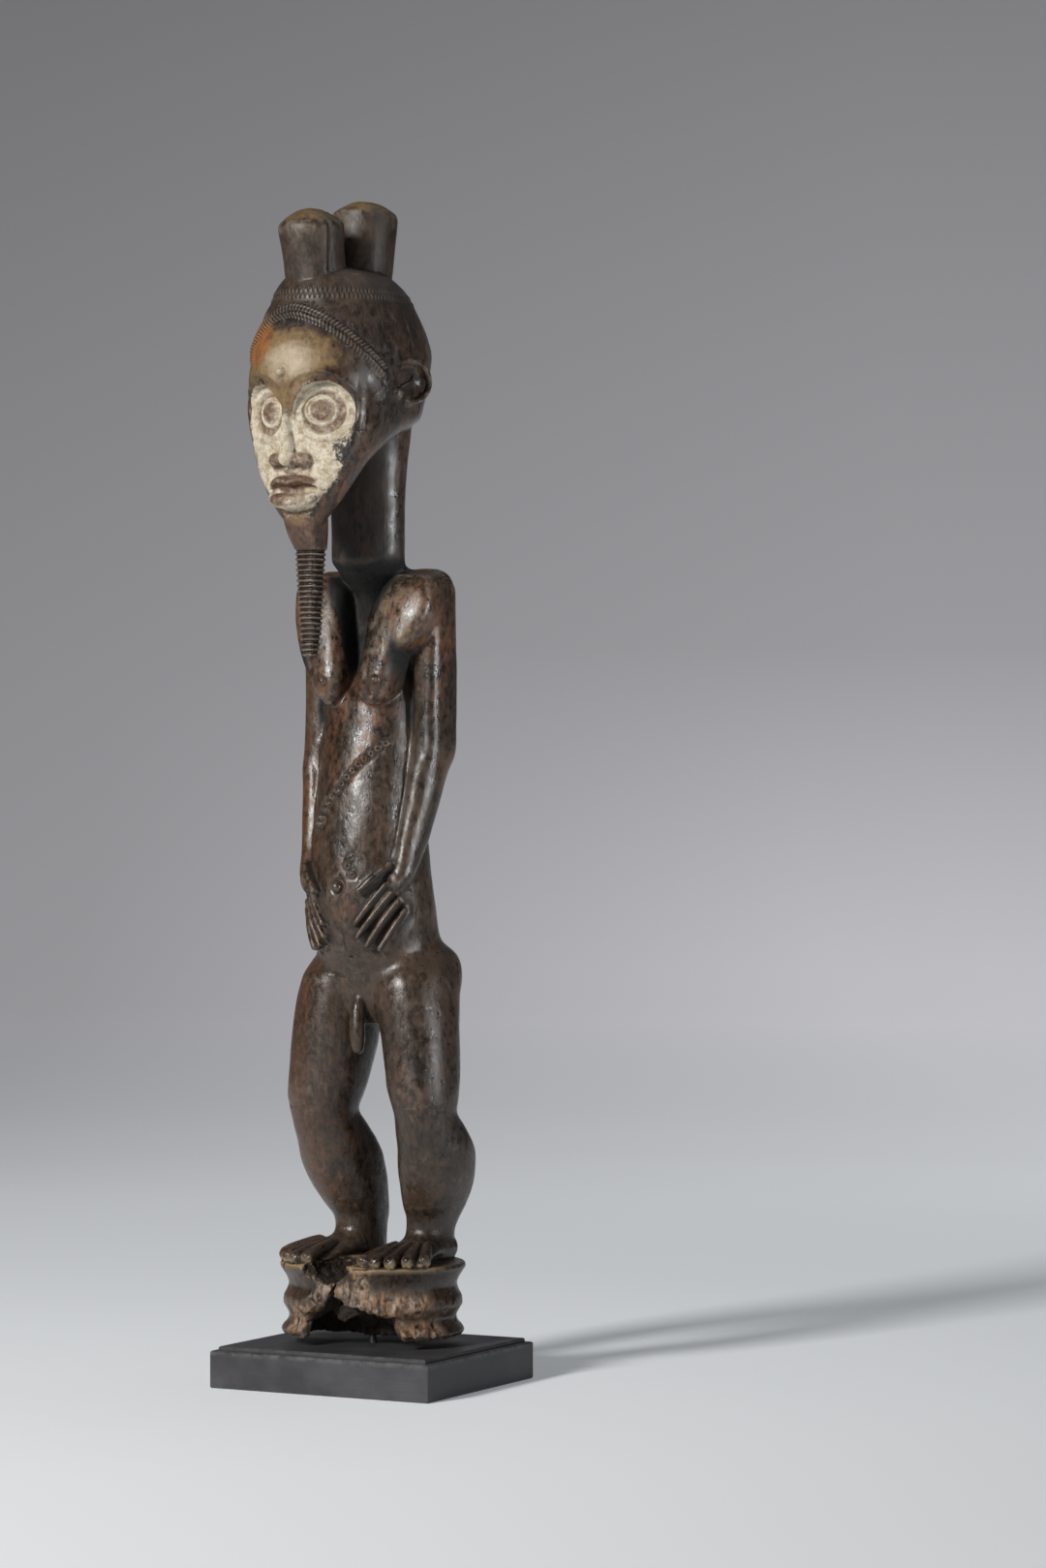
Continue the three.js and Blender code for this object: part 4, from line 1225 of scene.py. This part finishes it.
def aged_wood():
    """Oiled dark patina over wood, with edges rubbed lighter, clay, ochre and raw breaks; painted highlight
    on crests and rims, and painted shade in hollows, cuts, deep breaks and between the chest slabs.
    """
    wood = Finish("aged_wood")
    height = wood.axes()[2]
    streaks = wood.cloud(2.2, 5, 0.09)
    hairs = wood.cloud(0.8, 3, 0.05)
    patches = wood.cloud(26, 6, 0.7, 0.5, 0.6)
    glow = wood.cloud(30, 4, 0.45, 0.6)
    mottle = wood.cloud(3.2, 7, 0.7, 0.3, 0.6)
    pits = wood.cloud(1.3, 4, 0.8)
    grit = wood.cloud(0.7, 4)

    tone = wood.plus(wood.times(patches, 0.6), wood.times(streaks, 0.25))
    tone = wood.slope(wood.plus(tone, wood.times(mottle, 0.42)), 0.53, 0.76)
    wood.colour = wood.blend(tone, DARK_WOOD, BROWN_WOOD)
    warmth = wood.times(wood.slope(height, 0.19, 0.26, 0.3, 0.75), wood.slope(mottle, 0.4, 0.6))
    warmth = wood.times(warmth, wood.slope(height, 0.485, 0.52, 1, 0.15))
    wood.over(wood.times(wood.slope(glow, 0.5, 0.7), warmth), RED_WOOD)
    wood.over(wood.slope(wood.cloud(1.7, 6, 0.5, roughness=0.65), 0.46, 0.74, 0, 0.26), WORN_AND_LIT_WOOD)
    wood.over(wood.times(wood.slope(pits, 0.52, 0.8), wood.slope(patches, 0.42, 0.62, 0, 0.7)), DARK_WOOD)
    wood.over(wood.slope(wood.cloud(9, 4, 0.6), 0.46, 0.76, 0, 0.6), DARK_WOOD)
    # Lighter for wear and as painted highlight on crests and rims
    worn_and_lit = wood.times(wood.mark("wear_and_highlight"), wood.slope(mottle, 0.35, 0.62))
    wood.over(wood.slope(worn_and_lit, 0.15, 0.7, 0, 0.7), WORN_AND_LIT_WOOD)

    ochre = wood.ragged("ochre", 7, 0.7, 0.3, 0.75, 2)
    warm = wood.blend(wood.slope(wood.mark("orange"), 0.2, 0.8), OCHRE, ORANGE)
    warm = wood.blend(wood.slope(mottle, 0.48, 0.66, 0, 0.75), warm, BROWN_WOOD)
    wood.over(wood.times(ochre, 0.9), warm)
    wood.over(wood.times(wood.ragged("pale", 4, 0.7, 0.25, 1, 1.6), 0.85), PALE_OCHRE)

    stain = wood.ragged("stain", 2.6, 0.75, 0.2, 1, 2)
    worn_through = wood.slope(wood.cloud(1.1, 6, roughness=0.75), 0.52, 0.66, 0, 0.55)
    bare = wood.most(worn_through, wood.slope(stain, 0.5, 1, 0, 0.75))
    clay = wood.times(wood.ragged("clay", 2.4, 0.75, 0.3, 0.6, 1.8), wood.less(1, bare))
    clay_tone = wood.blend(wood.slope(wood.cloud(3.6, 7, roughness=0.7), 0.36, 0.58), CLAY_WARM, CLAY)
    wood.over(wood.times(stain, 0.7), CLAY_STAIN)
    wood.over(clay, wood.blend(stain, clay_tone, CLAY_STAIN))
    wood.over(wood.times(wood.ragged("soot", 2, 0.8, 0.5, 0.64, 3.4), 0.94), SOOT)

    raw = wood.mark("raw")
    torn_tone = wood.blend(wood.slope(wood.cloud(6, 4, 0.3), 0.42, 0.62), RAW_WOOD, RAW_ORANGE)
    for share, tint in (
        (wood.slope(wood.cloud(2.4, 5, 0.5), 0.46, 0.64, 0, 0.85), ROTTEN_AND_SHADED_WOOD),
        (wood.slope(mottle, 0.46, 0.62, 0, 0.6), BROWN_WOOD),
        # Darker deeper in the breaks: rot and painted shade
        (wood.slope(wood.mark("depth"), 0.12, 0.5), ROTTEN_AND_SHADED_WOOD),
    ):
        torn_tone = wood.blend(share, torn_tone, tint)
    wood.over(raw, torn_tone)
    wood.over(wood.times(wood.mark("rim"), 0.8), RIM_WOOD)

    wave = wood.sum("SINE", wood.times(wood.mark("cuts"), math.tau))
    cut_share = wood.mark("cut_share")
    notched = wood.times(wood.slope(wave, 0.1, 0.8), cut_share)
    crests = wood.times(wood.slope(wave, -0.2, -0.9), cut_share)
    # Darker in hollows, finger gaps and between the chest slabs: dirt together with painted shade; also
    # rougher
    dirt_and_shade = wood.slope(wood.mark("dirt_and_shade"), 0.1, 0.8, 0, 0.85)
    # Painted highlight on the crests of the fine cuts and painted shade in their notches
    wood.over(wood.times(crests, 0.42), WORN_AND_LIT_WOOD)
    wood.over(wood.times(notched, 0.85), DARK_WOOD)
    wood.over(dirt_and_shade, DARK_WOOD)
    # Painted shade, nearly black, between the chest slabs, on the neck and under the arms
    wood.over(wood.slope(wood.mark("shade"), 0.2, 0.9), PAINTED_SHADE_BLACK)

    gloss = wood.slope(mottle, 0.36, 0.64, 0.22, 0.45)
    gloss = wood.plus(gloss, wood.slope(height, 0.495, 0.53, 0, 0.16))
    dull = wood.most(wood.most(clay, raw), wood.times(ochre, 0.5))
    rough = wood.plus(gloss, wood.times(dull, 0.45), True)
    wood.give("Roughness", wood.plus(rough, wood.times(dirt_and_shade, 0.5), True))
    wood.shader.inputs["Specular IOR Level"].default_value = 0.5
    for bump, depth in (
        (streaks, 0.1), (hairs, 0.04), (mottle, 0.3), (pits, 0.1), (wood.less(1, notched), 0.5),
        (wood.times(grit, clay), 0.35), (wood.times(wood.cloud(1.6, 5, 0.4), raw), 1.2),
    ):
        wood.relief(bump, depth)
    return wood.done()


def block_paint(low, high):
    """Matte black paint on wood, rubbed grey on the edges."""
    paint = Finish("block_paint")
    middle, half = (low + high) / 2, (high - low) / 2
    axes = paint.axes()
    offsets = [paint.sum("ABSOLUTE", paint.less(axes[axis], middle[axis])) for axis in range(2)]
    nearest = paint.sum("MINIMUM", *(paint.less(half[axis], offsets[axis]) for axis in range(2)))
    edge = paint.plus(nearest, paint.less(high.z, axes[2]))
    wipe = paint.cloud(22, 4)
    grit = paint.cloud(0.9, 3)
    uneven = paint.slope(paint.cloud(5, 6, roughness=0.65), 0.4, 0.6)
    rubbed = paint.times(paint.slope(edge, 0.0048, 0.0018), uneven)
    paint.colour = paint.blend(paint.slope(wipe, 0.4, 0.65), PAINT_BLACK, PAINT_GREY)
    paint.over(paint.times(rubbed, 0.8), PAINT_RUBBED)
    paint.over(paint.slope(grit, 0.66, 0.74, 0, 0.35), PAINT_DUST)
    paint.give("Roughness", paint.slope(wipe, 0.35, 0.7, 0.42, 0.6))
    paint.relief(paint.cloud(1.6, 4, 0.06, axis=0), 0.12)
    paint.relief(grit, 0.06)
    return paint.done()


def pin_steel():
    """Darkened steel rod with lengthwise draw marks and a little rust."""
    steel = Finish("pin_steel")
    drawn = steel.cloud(0.3, 3, 0.03)
    steel.colour = steel.blend(drawn, STEEL_DARK, STEEL_LIGHT)
    steel.over(steel.slope(steel.cloud(1.5, 5), 0.56, 0.7), RUST)
    steel.give("Roughness", steel.slope(drawn, 0.3, 0.7, 0.35, 0.55))
    steel.shader.inputs["Metallic"].default_value = 0.9
    steel.relief(drawn, 0.04)
    return steel.done()


def sweep_paper():
    """Pale paper, its colour darker farther out as painted shade, that gives off a little light, the less
    the farther out, up and behind the camera.
    """
    paper = Finish("sweep_paper")
    flat = paper.node("VectorMath", operation="LENGTH")
    paper.put(flat.inputs[0], paper.place)
    way = flat.outputs["Value"]
    x, y, height = paper.axes()
    # Painted shade: the paper's colour darkens farther out
    paper.colour = paper.blend(paper.slope(way, 0.3, 2), PAPER_NEAR, PAPER_MIDDLE)
    paper.over(paper.slope(way, 1.6, 3.6), PAPER_FAR)
    paper.shader.inputs["Roughness"].default_value = 0.9
    paper.shader.inputs["Specular IOR Level"].default_value = 0.1
    paper.give("Emission Color", paper.blend(paper.slope(way, 0.6, 3.2), GLOW_NEAR, GLOW_FAR))
    aside = paper.plus(paper.times(x, 0.87), paper.times(y, 0.5))
    ahead = paper.less(paper.times(y, 0.87), paper.times(x, 0.5))
    glow = paper.plus(paper.slope(way, 0.2, 1.4, 0.32, 0.25), paper.slope(way, 1.4, 3.4, 0, 0.08))
    glow = paper.less(glow, paper.slope(height, 0, 1.7, 0, 0.19))
    glow = paper.times(glow, paper.slope(aside, -0.8, 0.8, 0.78, 1.08))
    patch = paper.times(paper.slope(height, 0.05, 0.5, 1, 0), paper.slope(aside, -0.4, 0.6, 0, 0.15))
    glow = paper.plus(glow, paper.times(patch, paper.slope(way, 0.5, 1.3, 0, 1)))
    glow = paper.times(glow, paper.slope(paper.sum("ABSOLUTE", aside), 1.2, 2.4, 1, 0.1))
    glow = paper.times(glow, paper.slope(ahead, -1.5, 1, 0.12, 1))
    paper.give("Emission Strength", glow)
    return paper.done()


# Pieces

def reskinned(piece, step):
    """One closed skin round all the solids of a piece."""
    maker = piece.modifiers.new("skin", "REMESH")
    maker.mode = "VOXEL"
    maker.voxel_size = step
    return Skin(settled(piece).data)


def finished(piece, material):
    """Gives a piece its one material and smooth shading."""
    piece.data.materials.clear()
    piece.data.materials.append(material)
    for face in piece.data.polygons:
        face.use_smooth = True


def make_figure():
    body = as_object("body", body_forms())
    skin = reskinned(body, BODY_STEP)
    skin.ease(rounding(skin.spots, BODY_ROUNDED), BODY_PASSES)
    details = as_object("details", [*body_details(), *head()])
    whole = bmesh.new()
    for part in (broken_base(), body, details):
        whole.from_mesh(part.data)
        bpy.data.objects.remove(part)
    figure = as_object("figure", [whole])
    skin = reskinned(figure, SKIN_STEP)
    skin.ease(np.full(skin.count, 0.5), 2)
    skin.ease(rounding(skin.spots, HEAD_ROUNDED), HEAD_PASSES)
    carve(skin)
    thin = figure.modifiers.new("thin", "DECIMATE")
    thin.ratio = FIGURE_TRIANGLES / (2 * len(figure.data.polygons))
    thin.use_collapse_triangulate = True
    settled(figure)
    mark_skin(Skin(figure.data))
    turn = Matrix.Rotation(math.radians(FIGURE_TURN), 4, "Z")
    figure.data.transform(Matrix.Diagonal((MILLIMETRE,) * 3 + (1,)) @ turn)
    finished(figure, aged_wood())
    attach(figure, "root")
    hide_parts("carved_figure")


def finish_stand():
    low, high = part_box("display_block")
    for node, material in (("display_block", block_paint(low, high)), ("mount_pin", pin_steel())):
        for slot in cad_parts[node].material_slots:
            slot.material = material


# Studio

SWEEP_RADIUS = 3.4
SWEEP_CURVE = 1.6
SWEEP_HEIGHT = 5.5
SWEEP_STEPS = 16


def studio_sweep():
    """A pale floor that curves up into a wall all round."""
    angles = [math.pi / 2 * step / SWEEP_STEPS for step in range(SWEEP_STEPS + 1)]
    curve = [(SWEEP_RADIUS + SWEEP_CURVE * math.sin(a), SWEEP_CURVE * (1 - math.cos(a))) for a in angles]
    bm = spun([(0, 0), *curve, (SWEEP_RADIUS + SWEEP_CURVE, SWEEP_HEIGHT)], 64)
    bmesh.ops.reverse_faces(bm, faces=bm.faces)
    sweep = as_object("studio_sweep", [bm])
    finished(sweep, sweep_paper())


CAMERA_DISTANCE = 2.257
CAMERA_AZIMUTH = 30
CAMERA_PAN = 1.88
CAMERA_HEIGHT = 0.2955
CAMERA_LENS = 105


def place_camera():
    camera = bpy.data.cameras.new("camera")
    camera.lens = CAMERA_LENS
    camera.sensor_width = 36
    made = bpy.data.objects.new("camera", camera)
    azimuth = math.radians(CAMERA_AZIMUTH)
    x, y = CAMERA_DISTANCE * math.sin(azimuth), -CAMERA_DISTANCE * math.cos(azimuth)
    made.location = (x, y, CAMERA_HEIGHT)
    made.rotation_euler = (math.radians(90), 0, math.radians(CAMERA_AZIMUTH - CAMERA_PAN))
    bpy.context.scene.collection.objects.link(made)
    bpy.context.scene.camera = made


def soft_box(name, azimuth, elevation, distance, size, power, tint, aim=0.3, spread=180):
    """A soft light at an azimuth round the figure, measured as the camera's."""
    light = bpy.data.lights.new(name, "AREA")
    light.shape = "RECTANGLE"
    light.size, light.size_y = size
    light.energy = power
    light.color = tint
    light.spread = math.radians(spread)
    made = bpy.data.objects.new(name, light)
    a, e = math.radians(azimuth), math.radians(elevation)
    offset = Vector((math.sin(a) * math.cos(e), -math.cos(a) * math.cos(e), math.sin(e)))
    made.location = Vector((0, 0, aim)) + offset * distance
    made.rotation_euler = offset.to_track_quat("Z", "Y").to_euler()
    bpy.context.scene.collection.objects.link(made)


def light_studio():
    soft_box("key", -12, 23, 2.4, (0.34, 0.55), 58, (1, 0.985, 0.965))
    soft_box("rim", 86, 0, 1.6, (0.08, 0.44), 0.2, (0.94, 0.97, 1), aim=0.36, spread=16)
    soft_box("overhead", 150, 70, 2.2, (1.2, 1.2), 3, (0.95, 0.97, 1))
    world = bpy.data.worlds.new("studio_air")
    world.use_nodes = True
    air = world.node_tree.nodes["Background"].inputs
    air["Color"].default_value = (0.93, 0.96, 1, 1)
    air["Strength"].default_value = 0.05
    bpy.context.scene.world = world
    bpy.context.scene.view_settings.view_transform = "Standard"


place_camera()
studio_sweep()
light_studio()
make_figure()
finish_stand()
